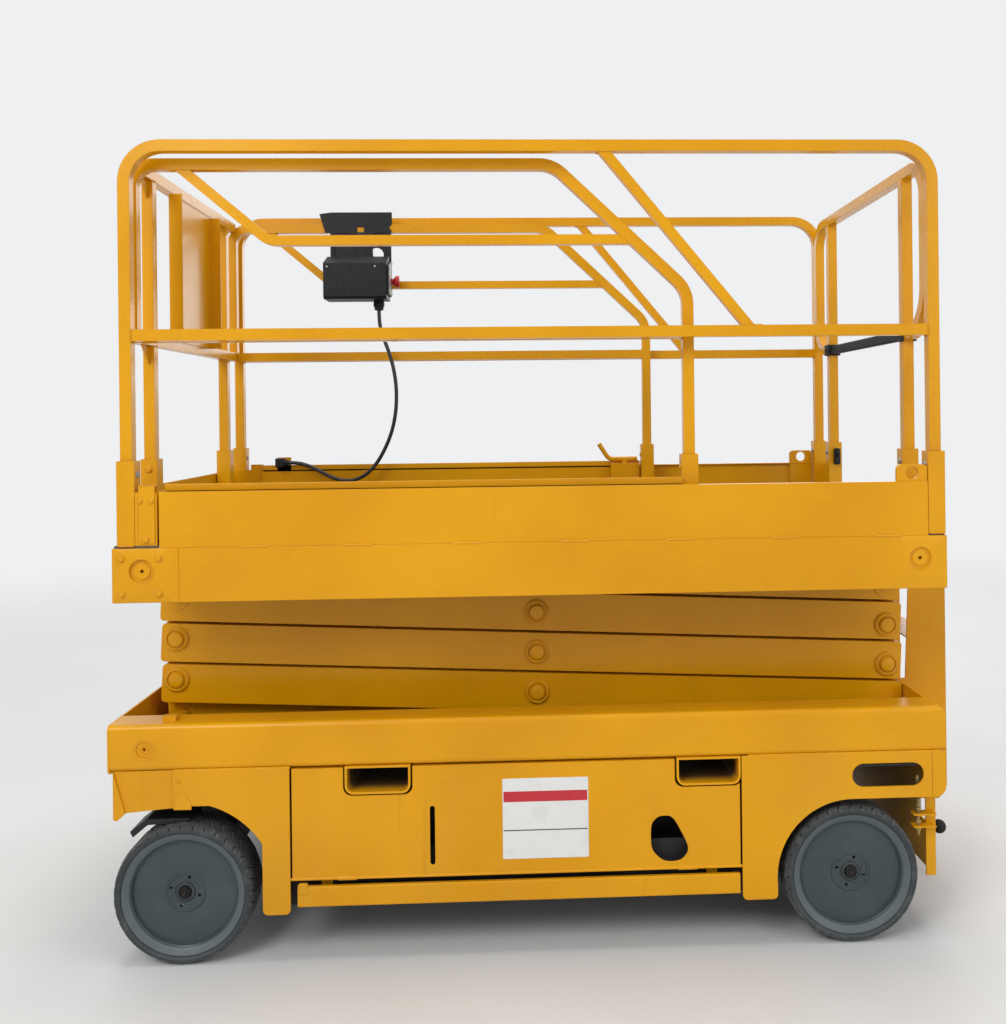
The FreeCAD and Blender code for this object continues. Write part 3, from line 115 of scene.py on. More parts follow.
class Graph:  # the nodes of one material, or of the world
    def __init__(self, name, owners=bpy.data.materials, surface="Principled BSDF"):
        self.owner = owners.new(name)
        self.owner.use_nodes = True
        self.tree = self.owner.node_tree
        self.surface = self.tree.nodes[surface]
        self.softened = None

    def add(self, kind, settings=None, sockets=(), out=0):
        node = self.tree.nodes.new(kind)
        for key, value in (settings or {}).items():
            setattr(node, key, value)
        pairs = sockets.items() if isinstance(sockets, dict) else enumerate(sockets)
        for key, value in pairs:
            self.plug(node.inputs[key], value)
        return Wire(self, node.outputs[out])

    def plug(self, socket, value):
        if isinstance(value, Wire):
            self.tree.links.new(value.socket, socket)
        elif socket.type == "RGBA":
            socket.default_value = (*value, 1.0)
        else:
            socket.default_value = value

    def place(self):
        return self.add("ShaderNodeTexCoord", out="Object")

    def noise(self, scale, detail=3.0, stretch=(1.0, 1.0, 1.0), roughness=0.55, shift=(0.0, 0.0, 0.0)):
        where = self.add("ShaderNodeMapping", None,
                         {"Vector": self.place(), "Scale": stretch, "Location": shift})
        return self.add("ShaderNodeTexNoise", None,
                        {"Vector": where, "Scale": scale, "Detail": detail, "Roughness": roughness})

    def axis(self, name):
        return self.add("ShaderNodeSeparateXYZ", None, [self.place()], out=name)

    def mix(self, share, first, second):
        node = self.tree.nodes.new("ShaderNodeMix")
        node.data_type = "RGBA"
        for socket, value in ((node.inputs[0], share), (node.inputs[6], first), (node.inputs[7], second)):
            self.plug(socket, value)
        return Wire(self, node.outputs[2])

    def rounded(self, radius=0.002):  # softened normals along sharp edges, made once for each material
        if self.softened is None:
            self.softened = self.add("ShaderNodeBevel", {"samples": 4}, {"Radius": radius})
        return self.softened

    def edges(self):  # 1 along sharp edges, 0 on open faces
        flat = self.add("ShaderNodeNewGeometry", out="Normal")
        same = self.add("ShaderNodeVectorMath", {"operation": "DOT_PRODUCT"}, [self.rounded(), flat], out=1)
        return (1.0 - same).ramp(0.02, 0.25)

    def bump(self, height, distance, normal=None):
        sockets = {"Height": height, "Distance": distance, "Strength": 1.0}
        if normal is not None:
            sockets["Normal"] = normal
        return self.add("ShaderNodeBump", None, sockets)

    def finish(self, **sockets):
        for key, value in sockets.items():
            self.plug(self.surface.inputs[key.replace("_", " ")], value)
        return self.owner

    def seen(self):  # 1 on rays from the camera, a mirror or glass, 0 on those that light the object
        share = self.add("ShaderNodeLightPath", out="Is Camera Ray")
        for ray in ("Is Glossy Ray", "Is Transmission Ray"):
            share = share.calc("MAXIMUM", self.add("ShaderNodeLightPath", out=ray))
        return share

    def cover(self, share, other, output):  # the other shader, as far as the share goes
        surface = Wire(self, self.surface.outputs[0])
        mixed = self.add("ShaderNodeMixShader", None, [share, surface, other])
        self.plug(self.tree.nodes[output].inputs["Surface"], mixed)


# Finishes

paintRecipe = {
    "colour": (0.74, 0.340, 0.002),
    "deep": (0.66, 0.288, 0.001),
    "pale": (0.78, 0.375, 0.004),
    "dust": (0.42, 0.29, 0.10),
    # grime: runs of dirt, and also the painted shade deep inside the fork pockets
    "grime": (0.055, 0.042, 0.026),
    "steel": (0.17, 0.14, 0.11),
}


def yellowPaint(name, recipe, wear=0.35, grime=0.5, roughness=0.3, shadedInside=None):
    # amber paint with dust low down, faint runs of dirt and chips along the edges, and where asked painted
    # shade deep inside
    g = Graph(name)
    mottle = g.noise(11.0, 4.0, shift=(3.0, 1.0, 2.0))
    colour = g.mix(g.noise(1.7, 2.0).ramp(0.35, 0.7), recipe["deep"], recipe["colour"])
    colour = g.mix(mottle.ramp(0.5, 0.8) * 0.25, colour, recipe["pale"])
    low = 1.0 - g.axis("Z").ramp(0.1, 0.75)
    film = g.noise(5.0, 5.0, (1.0, 1.0, 0.35), shift=(0.0, 5.0, 0.0)).ramp(0.42, 0.75)
    film = film * (low * 0.7 + 0.3) * grime
    colour = g.mix(film * 0.16, colour, recipe["dust"])
    streaks = g.noise(30.0, 3.0, (1.0, 1.0, 0.06)).ramp(0.62, 0.78) * grime
    colour = g.mix(streaks * 0.12, colour, recipe["grime"])
    if shadedInside:  # painted shade deep inside the fork pockets, darker with the distance from the machine's side
        inside = 1.0 - g.axis("Y").calc("ABSOLUTE").ramp(*shadedInside)
        colour = g.mix(inside * 0.93, colour, recipe["grime"])
    chips = g.edges() * g.noise(55.0, 4.0).ramp(0.60, 0.68) * wear
    scratch = g.noise(9.0, 6.0, (0.25, 0.25, 9.0), 0.7).ramp(0.70, 0.73) * wear * 0.4
    bare = chips + scratch
    colour = g.mix(bare, colour, recipe["steel"])
    normal = g.bump(g.noise(60.0, 2.0), 0.0004, g.rounded())
    shine = film * 0.25 + bare * 0.35 + (mottle - 0.5) * 0.1 + roughness
    return g.finish(Base_Color=colour, Roughness=shine, Normal=normal, Coat_Weight=0.12 - film * 0.1,
                    Coat_Roughness=0.1, Specular_IOR_Level=0.2)


def darkPaint(name, colour, dust=(0.12, 0.11, 0.10), roughness=0.5):
    g = Graph(name)
    film = g.noise(9.0, 5.0).ramp(0.42, 0.75)
    spots = g.noise(70.0, 3.0).ramp(0.6, 0.75)
    tint = g.mix(film * 0.4, colour, dust)
    tint = g.mix(spots * 0.3, tint, tuple(c * 0.5 for c in colour))
    normal = g.bump(g.noise(240.0, 3.0) * 0.5, 0.0003, g.rounded())
    return g.finish(Base_Color=tint, Roughness=film * 0.25 + roughness, Normal=normal, Specular_IOR_Level=0.3)


tyreRecipe = {
    "tread": (0.066, 0.068, 0.066),
    "wall": (0.028, 0.035, 0.038),
    "slant": (0.082, 0.104, 0.113),
    "worn": (0.20, 0.20, 0.19),
    # groove: dark specks in the rubber, and the painted shade at the bottom of the grooves
    "groove": (0.020, 0.020, 0.019),
}


def tyreRubber(name, recipe):
    # the tyre's mesh carries two values: part (0 tread, 1 wall, 2 slanting ring)
    # and groove (0 open face, 1 in a groove)
    g = Graph(name)
    part = g.add("ShaderNodeAttribute", {"attribute_name": "part"}, out="Fac")
    groove = g.add("ShaderNodeAttribute", {"attribute_name": "groove"}, out="Fac")
    cloud = g.noise(26.0, 5.0)
    grit = g.noise(300.0, 3.0)
    tint = g.mix(part.ramp(0.1, 0.9), recipe["tread"], recipe["wall"])
    tint = g.mix(part.ramp(1.2, 1.9), tint, recipe["slant"])
    tint = g.mix(cloud.ramp(0.45, 0.75) * (1.0 - part * 0.4) * 0.45, tint, recipe["worn"])
    tint = g.mix(grit.ramp(0.60, 0.72) * 0.3, tint, recipe["groove"])
    tint = g.mix(groove.ramp(0.02, 0.3) * 0.8, tint, recipe["worn"])  # dust on the grooves' chamfers
    # painted shade at the bottom of the grooves
    tint = g.mix(groove.ramp(0.65, 0.95), tint, recipe["groove"])
    normal = g.bump(grit * 0.5 + g.noise(80.0, 4.0) * 0.5, 0.0005, g.rounded())
    return g.finish(Base_Color=tint, Roughness=cloud * 0.2 + 0.62 - part * 0.12, Normal=normal)


def mouldedPlastic(name, colour, grain=900.0, roughness=0.42):
    g = Graph(name)
    soft = g.noise(35.0, 3.0)
    tint = g.mix(soft.ramp(0.4, 0.75) * 0.6, colour, tuple(c * 1.6 + 0.01 for c in colour))
    tint = g.mix(g.edges() * 0.35, tint, tuple(c * 2.2 + 0.03 for c in colour))
    normal = g.bump(g.noise(grain, 2.0) * 0.8, 0.0002, g.rounded())
    return g.finish(Base_Color=tint, Roughness=soft * 0.2 + roughness, Normal=normal, Specular_IOR_Level=0.25)


def signSheet(name, colour):
    g = Graph(name)
    dirt = g.noise(22.0, 5.0).ramp(0.5, 0.8)
    tint = g.mix(dirt * 0.3, colour, tuple(c * 0.6 for c in colour))
    normal = g.bump(g.noise(60.0, 2.0), 0.0002)
    return g.finish(Base_Color=tint, Roughness=dirt * 0.2 + 0.32, Normal=normal)


def cableRubber(name, colour, dusty):
    g = Graph(name)
    dust = g.noise(60.0, 4.0).ramp(0.45, 0.75)
    tint = g.mix(dust * 0.5, colour, dusty)
    normal = g.bump(g.noise(700.0, 2.0) * 0.5, 0.0002)
    return g.finish(Base_Color=tint, Roughness=dust * 0.25 + 0.42, Normal=normal)


def chromedRod(name, colour, oily):
    g = Graph(name)
    oil = g.noise(20.0, 4.0, (1.0, 1.0, 4.0)).ramp(0.4, 0.8)
    tint = g.mix(oil * 0.5, colour, oily)
    normal = g.bump(g.noise(400.0, 2.0, (1.0, 8.0, 8.0)) * 0.3, 0.00008)
    return g.finish(Base_Color=tint, Metallic=1.0, Roughness=oil * 0.15 + 0.1, Normal=normal)


def zincSteel(name, colour=(0.42, 0.42, 0.40), roughness=0.38):
    g = Graph(name)
    stain = g.noise(45.0, 4.0)
    tint = g.mix(stain.ramp(0.45, 0.75), colour, tuple(c * 0.55 for c in colour))
    normal = g.bump(g.noise(500.0, 2.0) * 0.4, 0.0001, g.rounded(0.001))
    return g.finish(Base_Color=tint, Metallic=0.85, Roughness=stain * 0.3 + roughness, Normal=normal)


treadPlate = {"pitch": 0.042, "long": 0.40, "thin": 0.085, "rise": 0.0014,
              "steel": (0.115, 0.118, 0.12), "dirt": (0.062, 0.060, 0.055), "lug": (0.26, 0.265, 0.265)}


def deckSteel(name, plate):
    # lozenges in two directions: each cell holds one ellipse, turned by the cell's own parity
    g = Graph(name)
    x = g.axis("X") / plate["pitch"]
    y = g.axis("Y") / plate["pitch"]
    cellX, cellY = x.calc("FLOOR"), y.calc("FLOOR")
    u, v = x - cellX - 0.5, y - cellY - 0.5
    parity = (cellX + cellY).calc("MODULO", 2.0).calc("ABSOLUTE") * 2.0 - 1.0
    diagonal = math.sqrt(0.5)
    along = (u + v * parity) * diagonal
    across = (v * parity - u) * diagonal
    reach = (along / plate["long"]).calc("POWER", 2.0) + (across / plate["thin"]).calc("POWER", 2.0)
    lug = 1.0 - reach.calc("SQRT").ramp(0.75, 1.0)
    dirt = g.noise(3.0, 5.0).ramp(0.35, 0.75)
    grit = g.noise(140.0, 3.0)
    tint = g.mix(dirt, plate["steel"], plate["dirt"])
    tint = g.mix(lug * 0.6, tint, plate["lug"])
    normal = g.bump(lug + grit * 0.12, plate["rise"], g.rounded(0.001))
    return g.finish(Base_Color=tint, Roughness=0.62 - lug * 0.22 + dirt * 0.15, Metallic=0.35, Normal=normal)


finishes = {
    "yellow": yellowPaint("yellowPaint", paintRecipe),
    "yellowLow": yellowPaint("yellowPaintWorn", paintRecipe, 0.6, 0.9, 0.36),
    "yellowRail": yellowPaint("yellowPaintRails", paintRecipe, 0.5, 0.35, 0.26),
    # the pockets' paint turns to painted shade deeper inside
    "yellowPocket": yellowPaint("yellowPaintPockets", paintRecipe, 0.6, 0.9, 0.4, (0.535, 0.594)),
    "wheel": darkPaint("wheelPaint", (0.046, 0.063, 0.070), (0.085, 0.098, 0.104), 0.30),
    "grease": darkPaint("greasySteel", (0.010, 0.009, 0.008), (0.035, 0.030, 0.024), 0.32),
    "dark": darkPaint("underframePaint", (0.014, 0.014, 0.015), (0.060, 0.055, 0.048)),
    "tyre": tyreRubber("tyreRubber", tyreRecipe),
    "black": mouldedPlastic("blackPlastic", (0.006, 0.006, 0.007)),
    "grip": mouldedPlastic("gripRubber", (0.012, 0.012, 0.013), 260.0, 0.6),
    "facePlate": mouldedPlastic("facePlate", (0.30, 0.30, 0.29), 900.0, 0.45),
    "signWhite": signSheet("signWhite", (0.74, 0.74, 0.72)),
    "signRed": signSheet("signRed", (0.52, 0.018, 0.028)),
    "signDark": signSheet("signDark", (0.06, 0.06, 0.06)),
    "brass": zincSteel("agedBrass", (0.42, 0.30, 0.12), 0.42),
    "red": mouldedPlastic("redPlastic", (0.42, 0.012, 0.012), 900.0, 0.3),
    "cable": cableRubber("cableRubber", (0.012, 0.012, 0.013), (0.07, 0.065, 0.06)),
    "chrome": chromedRod("chromedRod", (0.72, 0.73, 0.74), (0.42, 0.40, 0.36)),
    "zinc": zincSteel("zincSteel"),
    "deck": deckSteel("deckSteel", treadPlate),
}
print("finishes made:", len(finishes))


# The construction nodes' finishes, by the starts of their names; the rest is yellow

nodeFinish = {
    "tyre": ("tyre",),
    "wheel": ("disc",),
    "yellowRail": ("guardrail", "rear_guardrail", "front_guardrail", "extension_rail"),
    "yellowLow": ("front_skirts", "rear_skirts", "pothole", "door_", "ladder", "end_plates"),
    "yellowPocket": ("fork",),
    "deck": ("deck", "extension_deck"),
    "dark": ("lift_barrel", "floor_pan", "front_frame", "rear_frame", "power_packs", "front_axle",
             "rear_axle", "knuckle", "tie_rod"),
    "black": ("release_knob", "control_box", "control_bracket", "cable_gland", "cable_connector"),
    "grip": ("gate_bar",),
    "chrome": ("lift_rod",),
    "red": ("stop_button",),
    "cable": ("control_cable",),
}


def finishOf(name):
    for finish, starts in nodeFinish.items():
        if name.startswith(starts):
            return finishes[finish]
    return finishes["yellow"]


def paintNodes():
    for name, node in nodes.items():
        node.data.materials.clear()
        node.data.materials.append(finishOf(name))


paintNodes()


# The control cable: its route from the gland to the connector

cableFacts = {
    "points": ((-0.636, 0.436, 1.893), (-0.636, 0.436, 1.846), (-0.622, 0.437, 1.795), (-0.602, 0.439, 1.742),
               (-0.586, 0.442, 1.684), (-0.577, 0.446, 1.622), (-0.576, 0.451, 1.558), (-0.583, 0.457, 1.494),
               (-0.599, 0.464, 1.432), (-0.624, 0.472, 1.375), (-0.655, 0.480, 1.322), (-0.693, 0.488, 1.281),
               (-0.737, 0.495, 1.258), (-0.785, 0.502, 1.254), (-0.832, 0.508, 1.268), (-0.876, 0.514, 1.292),
               (-0.919, 0.519, 1.313), (-0.962, 0.525, 1.325), (-0.998, 0.525, 1.325)),
    "diameter": 0.014,
    "length": 0.979,
}


def makeCable(facts):
    curve = bpy.data.curves.new("controlCable", "CURVE")
    curve.dimensions = "3D"
    curve.bevel_depth = facts["diameter"] / 2
    curve.bevel_resolution = 6
    curve.resolution_u = 8
    curve.use_fill_caps = True
    spline = curve.splines.new("NURBS")
    spline.points.add(len(facts["points"]) - 1)
    for point, place in zip(spline.points, facts["points"]):
        point.co = (*place, 1.0)
    spline.order_u = 3
    spline.use_endpoint_u = True
    cable = bpy.data.objects.new("controlCable", curve)
    curve.materials.append(finishes["cable"])
    scene.collection.objects.link(cable)
    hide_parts("control_cable")
    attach(cable, "extension")


makeCable(cableFacts)
print("cable made")


# Surfaces: every new piece is gathered from grids of points

sharpAngle = 32.0  # degrees between two faces from which their edge stays sharp
nearWay = ((1.0, 0.0, 0.0), (0.0, 0.0, 1.0))  # right and up of plates that face -Y, the near side
endWay = ((0.0, 1.0, 0.0), (0.0, 0.0, 1.0))  # the same for plates that face +X
flatWay = ((1.0, 0.0, 0.0), (0.0, 1.0, 0.0))  # the same for plates that face +Z


def gridFaces(rows, columns, closed):
    # quads between points numbered row by row, whose last column meets the first
    # where closed, the last row meets the first one too
    r, c = np.arange(rows if closed else rows - 1), np.arange(columns)
    r, c = (a.ravel() for a in np.meshgrid(r, c, indexing="ij"))
    nextR, nextC = (r + 1) % rows, (c + 1) % columns
    return np.stack([r * columns + c, nextR * columns + c, nextR * columns + nextC, r * columns + nextC], 1)


def addPiece(name, mesh, finish, body, sharp, replaced=None):
    # a mesh becomes a piece on its body, shaded softly over edges of less than the sharp angle
    mesh.polygons.foreach_set("use_smooth", np.ones(len(mesh.polygons), dtype=bool))
    mesh.set_sharp_from_angle(angle=math.radians(sharp))
    mesh.materials.append(finishes[finish])
    piece = bpy.data.objects.new(name, mesh)
    scene.collection.objects.link(piece)
    if replaced:
        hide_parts(replaced)
    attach(piece, body)


class Shape:  # gathers grids of points into one piece
    def __init__(self):
        self.points, self.faces, self.count = [], [], 0

    def grid(self, surface, closed=False):  # rows x columns x 3, capped at both ends unless closed
        rows, columns = surface.shape[:2]
        self.faces += (gridFaces(rows, columns, closed) + self.count).tolist()
        if not closed:
            first = np.arange(columns) + self.count
            self.faces += [first.tolist(), (first + (rows - 1) * columns).tolist()]
        self.points.append(surface.reshape(-1, 3))
        self.count += rows * columns
        return self

    def mirror(self):  # the same again on the far side of the machine
        self.points.append(np.concatenate(self.points) * (1.0, -1.0, 1.0))
        self.faces += [[index + self.count for index in face] for face in self.faces]
        self.count *= 2
        return self

    def make(self, name, finish, body, slotName="yellow_paint"):
        mesh = bpy.data.meshes.new(name)
        mesh.from_pydata(np.concatenate(self.points).tolist(), [], self.faces)
        work = bmesh.new()
        work.from_mesh(mesh)
        bmesh.ops.remove_doubles(work, verts=work.verts, dist=0.000002)
        bmesh.ops.recalc_face_normals(work, faces=work.faces)
        work.to_mesh(mesh)
        work.free()
        addPiece(name, mesh, finish, body, sharpAngle)


def unit(vector):
    vector = np.array(vector, dtype=float)
    return vector / np.linalg.norm(vector)


def turned(profile, place, axis, steps, start=0.0):
    # place + along * axis + radius * (cos t * side + sin t * up), for each (radius, along) of the profile
    radius, along = np.array(profile, dtype=float).T
    axis = unit(axis)
    side = unit(np.cross(axis, (0.0, 0.0, 1.0) if abs(axis[2]) < 0.9 else (1.0, 0.0, 0.0)))
    up = np.cross(axis, side)
    t = start + np.linspace(0.0, 2.0 * np.pi, steps, endpoint=False)
    circle = np.cos(t)[:, None] * side + np.sin(t)[:, None] * up
    return np.array(place) + along[:, None, None] * axis + radius[:, None, None] * circle[None, :, :]


def swept(section, path, across):
    # path + u * across + v * (direction of the path x across), for each (u, v) of the section
    path = np.array(path, dtype=float)
    across = unit(across)
    up = np.cross(np.gradient(path, axis=0), across)
    up /= np.linalg.norm(up, axis=1)[:, None]
    u, v = np.array(section, dtype=float).T
    return path[:, None, :] + u[None, :, None] * across + v[None, :, None] * up[:, None, :]


def ringSection(radius, steps):
    t = np.linspace(0.0, 2.0 * np.pi, steps, endpoint=False)
    return np.stack([radius * np.cos(t), radius * np.sin(t)], 1)


def roundedOutline(cornerPoints, radius, steps, share=None):
    # each corner is a quadratic curve: (1-t)^2 * start + 2t(1-t) * corner + t^2 * end
    # start and end are at the radius from the corner, or at a share of the edges beside it
    points = np.array(cornerPoints, dtype=float)
    edges = [np.roll(points, way, axis=0) - points for way in (1, -1)]
    start, end = (points + edge * (share or radius / np.linalg.norm(edge, axis=1)[:, None]) for edge in edges)
    t = np.linspace(0.0, 1.0, steps + 1)[None, :, None]
    curve = (1 - t) ** 2 * start[:, None] + 2 * t * (1 - t) * points[:, None] + t ** 2 * end[:, None]
    return curve.reshape(-1, 2)


def rectangle(x0, x1, z0, z1):
    return [(x0, z0), (x1, z0), (x1, z1), (x0, z1)]


def upright(outline, y):  # an outline in x and z, as points at y
    return np.insert(np.array(outline, dtype=float), 1, y, axis=1)


def plate(outline, corner, way, start, thickness, bevel=0.0006, steps=4):
    # the rounded outline at four heights, drawn in by the bevel at the first and last, from start outwards
    outline = roundedOutline(outline, corner, steps) if corner else np.array(outline, dtype=float)
    edge = np.roll(outline, -1, axis=0) - np.roll(outline, 1, axis=0)
    normal = np.stack([edge[:, 1], -edge[:, 0]], 1) / np.linalg.norm(edge, axis=1)[:, None]
    area = np.sum(outline[:, 0] * np.roll(outline[:, 1], -1) - np.roll(outline[:, 0], -1) * outline[:, 1])
    inset = outline - normal * bevel * np.sign(area)
    right, up = np.array(way)
    out = np.cross(right, up)
    heights = (0.0, bevel, thickness - bevel, thickness)
    rows = [np.abs(out) * start + ring[:, :1] * right + ring[:, 1:] * up + height * out
            for ring, height in zip((inset, outline, outline, inset), heights)]
    return np.stack(rows)


def holedPlate(edges, hole, y, thickness):
    # rays from the hole's middle: each runs from the hole's rim to the rectangle's edge, which is rounded off
    x0, x1, z0, z1 = edges
    cx, cz, radius = hole
    angles = [math.atan2(z - cz, x - cx) for x in (x0, x1) for z in (z0, z1)]
    t = np.unique(np.concatenate([np.linspace(-np.pi, np.pi, 72, endpoint=False), angles]))
    ray = np.stack([np.cos(t), np.sin(t)], 1)
    ray = np.where(np.abs(ray) < 1e-9, 1e-9, ray)  # no division by zero below
    reach = np.min(np.where(ray > 0, (x1 - cx, z1 - cz), (x0 - cx, z0 - cz)) / ray, axis=1)
    soft = thickness * 0.45
    rings = ((radius, 0.0), (radius, thickness), (reach - soft, thickness),
             (reach - soft * 0.3, thickness - soft * 0.3), (reach, thickness - soft), (reach, 0.0))
    return np.stack([upright((cx, cz) + ray * np.broadcast_to(r, t.shape)[:, None], y - height)
                     for r, height in rings])


# Bolts, welds and rings: sizes that several pieces share

boltSizes = {"rail": (0.013, 0.010), "plate": (0.015, 0.011), "skirt": (0.008, 0.0062)}  # head and washer
weldFacts = {"rail": 0.0026, "foot": 0.0030, "ripple": 0.0025,  # radii on rails and sockets' feet, and ripple
             "swell": 0.16, "drift": 0.1, "driftRate": 190.0, "runOut": 1.5}


def addBolt(shape, place, axis, across, washer):
    # six-sided head with a chamfered top, on a round washer
    r, h = across / 2 / math.cos(math.pi / 6), across * 0.4
    disc = [(washer, -0.001), (washer, 0.0012), (washer * 0.93, 0.0017), (0.0, 0.0017)]
    head = [(r, 0.001), (r, h * 0.82), (r * 0.86, h), (0.0, h)]
    shape.grid(turned(disc, place, axis, 24))
    shape.grid(turned(head, place, axis, 6))


def addBead(shape, start, end, radius, across, ripple=weldFacts["ripple"]):
    # a half-sunk weld: its radius swells and shrinks along the line and runs out at both ends
    start, end = np.array(start), np.array(end)
    length = np.linalg.norm(end - start)
    s = np.linspace(0.0, length, max(8, int(length / (ripple / 3))))
    line = start + (end - start) * (s / length)[:, None]
    swell = 1.0 + weldFacts["swell"] * np.sin(2.0 * np.pi * s / ripple)
    swell += weldFacts["drift"] * np.sin(s * weldFacts["driftRate"])
    ends = np.clip(np.minimum(s, length - s) / (radius * weldFacts["runOut"]), 0.15, 1.0) ** 0.5
    bead = swept(ringSection(radius, 8), line, across)
    shape.grid(line[:, None, :] + (bead - line[:, None, :]) * (swell * ends)[:, None, None])


def addBeadX(shape, x0, x1, y, z, radius, ripple=weldFacts["ripple"]):
    addBead(shape, (x0, y, z), (x1, y, z), radius, (0, 1, 0), ripple)


def addBeadY(shape, y0, y1, x, z, radius):
    addBead(shape, (x, y0, z), (x, y1, z), radius, (1, 0, 0))


def addRing(shape, place, radius, tube, axis, steps=40):
    # a small circle carried round a large one
    shape.grid(turned(ringSection(tube, 10) + (radius, 0.0), place, axis, steps), closed=True)


# Wheels

sides = (("near", -1), ("far", 1))
sideY = 0.600  # the machine's sides, from its middle
wheelFacts = {
    "radius": 0.1905,
    "half": 0.0635,
    "blocks": 36,
    "groove": 0.0030,
    "chamfer": 0.0019,
    "depth": 0.0060,
    "zigzag": 0.0075,
    "waves": 2.5,
    "treadRows": 15,
    "blockColumns": (0.28, 0.5, 0.72),  # between two grooves, as shares of their pitch
    "flank": ((0.1480, 0.0475), (0.1500, 0.0490), (0.1590, 0.0539), (0.1664, 0.0573), (0.1672, 0.0562),
              (0.1684, 0.0562), (0.1692, 0.0588), (0.1742, 0.0614), (0.1765, 0.0628), (0.1785, 0.0618),
              (0.1800, 0.0618), (0.1815, 0.0633), (0.1828, 0.0628),
              (0.1846, 0.0602), (0.1862, 0.0570), (0.1876, 0.0532), (0.1890, 0.0484), (0.1900, 0.0436),
              (0.1905, 0.0395)),
    "parts": ((0.1664, 0.1674, 0.183, 0.187), (2.0, 1.0, 1.0, 0.0)),  # as the rubber's finish says, by radius
    "cut": ((0.1815, 0.1862), (0.0, 1.0)),  # share of the grooves' depth, by radius
    "sharp": 38.0,
    "flangeTurns": {"front": 29.0, "rear": 40.0},
}


def tyreProfile(facts):
    # one flank, the tread and the other flank, with each point's part and its share of the grooves' depth
    flank = np.array(facts["flank"])
    treadY = np.linspace(flank[-1, 1], -flank[-1, 1], facts["treadRows"] + 2)[1:-1]
    tread = np.stack([np.full(len(treadY), facts["radius"]), treadY], 1)
    profile = np.concatenate([flank, tread, flank[::-1] * (1.0, -1.0)])
    return profile, np.interp(profile[:, 0], *facts["parts"]), np.interp(profile[:, 0], *facts["cut"])


def makeTyre(name, body, facts):
    # radius less the groove's depth, carried round the axle; columns follow each zigzag groove over the tread
    centre = np.add(*corners(name)) / 2
    profile, part, reach = tyreProfile(facts)
    pitch = 2.0 * np.pi * facts["radius"] / facts["blocks"]
    half = facts["groove"] / 2
    outer = half + facts["chamfer"]
    offsets = np.concatenate([(-outer, -half, half, outer), pitch * np.array(facts["blockColumns"])])
    around = (np.arange(facts["blocks"])[:, None] * pitch + offsets[None, :]).ravel()
    inGroove = np.tile(np.abs(offsets) == half, facts["blocks"])
    phase = profile[:, 1] / (2 * facts["half"]) * facts["waves"]
    zigzag = facts["zigzag"] * (np.abs((phase % 1.0) - 0.5) * 4.0 - 1.0) * reach
    angle = (around[None, :] + zigzag[:, None]) / facts["radius"]
    depth = inGroove[None, :] * reach[:, None]
    radius = profile[:, :1] - facts["depth"] * depth
    y = np.broadcast_to(profile[:, 1:], radius.shape)
    surface = centre + np.stack([radius * np.cos(angle), y, radius * np.sin(angle)], 2)
    rows, columns = radius.shape
    mesh = bpy.data.meshes.new(name + "Rubber")
    mesh.from_pydata(surface.reshape(-1, 3).tolist(), [], gridFaces(rows, columns, True)[:, ::-1].tolist())
    for label, values in (("part", np.repeat(part, columns)), ("groove", depth.ravel())):
        mesh.attributes.new(label, "FLOAT", "POINT").data.foreach_set("value", values.astype(np.float32))
    addPiece(name + "Rubber", mesh, "tyre", body, facts["sharp"], replaced=name)


hubNut = {
    "radius": 0.018,
    "out": 0.0335,  # the flange's face, from the wheel's middle
    "profiles": (  # radii in the nut's radius and heights in metres, then steps and turn
        (((1.55, -0.006), (1.55, 0.0015), (1.4, 0.0030), (0.0, 0.0030)), 32, 0.0),
        (((1.0, 0.002), (1.0, 0.010), (0.93, 0.0115), (0.0, 0.0115)), 6, 0.4),
        (((0.78, 0.011), (0.78, 0.0155), (0.60, 0.0155), (0.58, 0.0130), (0.0, 0.0130)), 24, 0.0),
        (((0.42, 0.010), (0.42, 0.0170), (0.34, 0.0180), (0.0, 0.0180)), 20, 0.0),
    ),
    "pin": 0.0014,
    "pinHeight": 0.0135,
    "pinAxis": (0.5, 0.0, 0.85),
}


def addHubNut(shape, centre, side, facts):
    # washer, castle nut, its crown and the spindle's end, with a split pin across them
    out = np.array((0.0, side, 0.0))
    r, pin = facts["radius"], facts["pin"]
    face = centre + out * facts["out"]
    for profile, steps, start in facts["profiles"]:
        shape.grid(turned(np.array(profile) * (r, 1.0), face, out, steps, start))
    length = [(0.0, -r), (pin, -r), (pin, r), (0.0, r)]
    shape.grid(turned(length, face + out * facts["pinHeight"], facts["pinAxis"], 8))


flangeLines = {"reach": 0.046, "corners": (0.012, 0.011), "inside": 0.955, "rise": (0.0340, 0.0352)}


def addFlangeLines(shape, centre, side, tilt, facts):
    # a thin square, seen as raised lines between the bolt holes
    turn = np.radians(tilt) + np.arange(4) * np.pi / 2
    square = facts["reach"] * np.stack([np.cos(turn), np.sin(turn)], 1)
    outer = roundedOutline(square, facts["corners"][0], 4)
    inner = roundedOutline(square * facts["inside"], facts["corners"][1], 4)
    base, top = facts["rise"]
    rings = ((outer, base), (outer, top), (inner, top), (inner, base))
    shape.grid(np.stack([centre + upright(ring, side * height) for ring, height in rings]), closed=True)


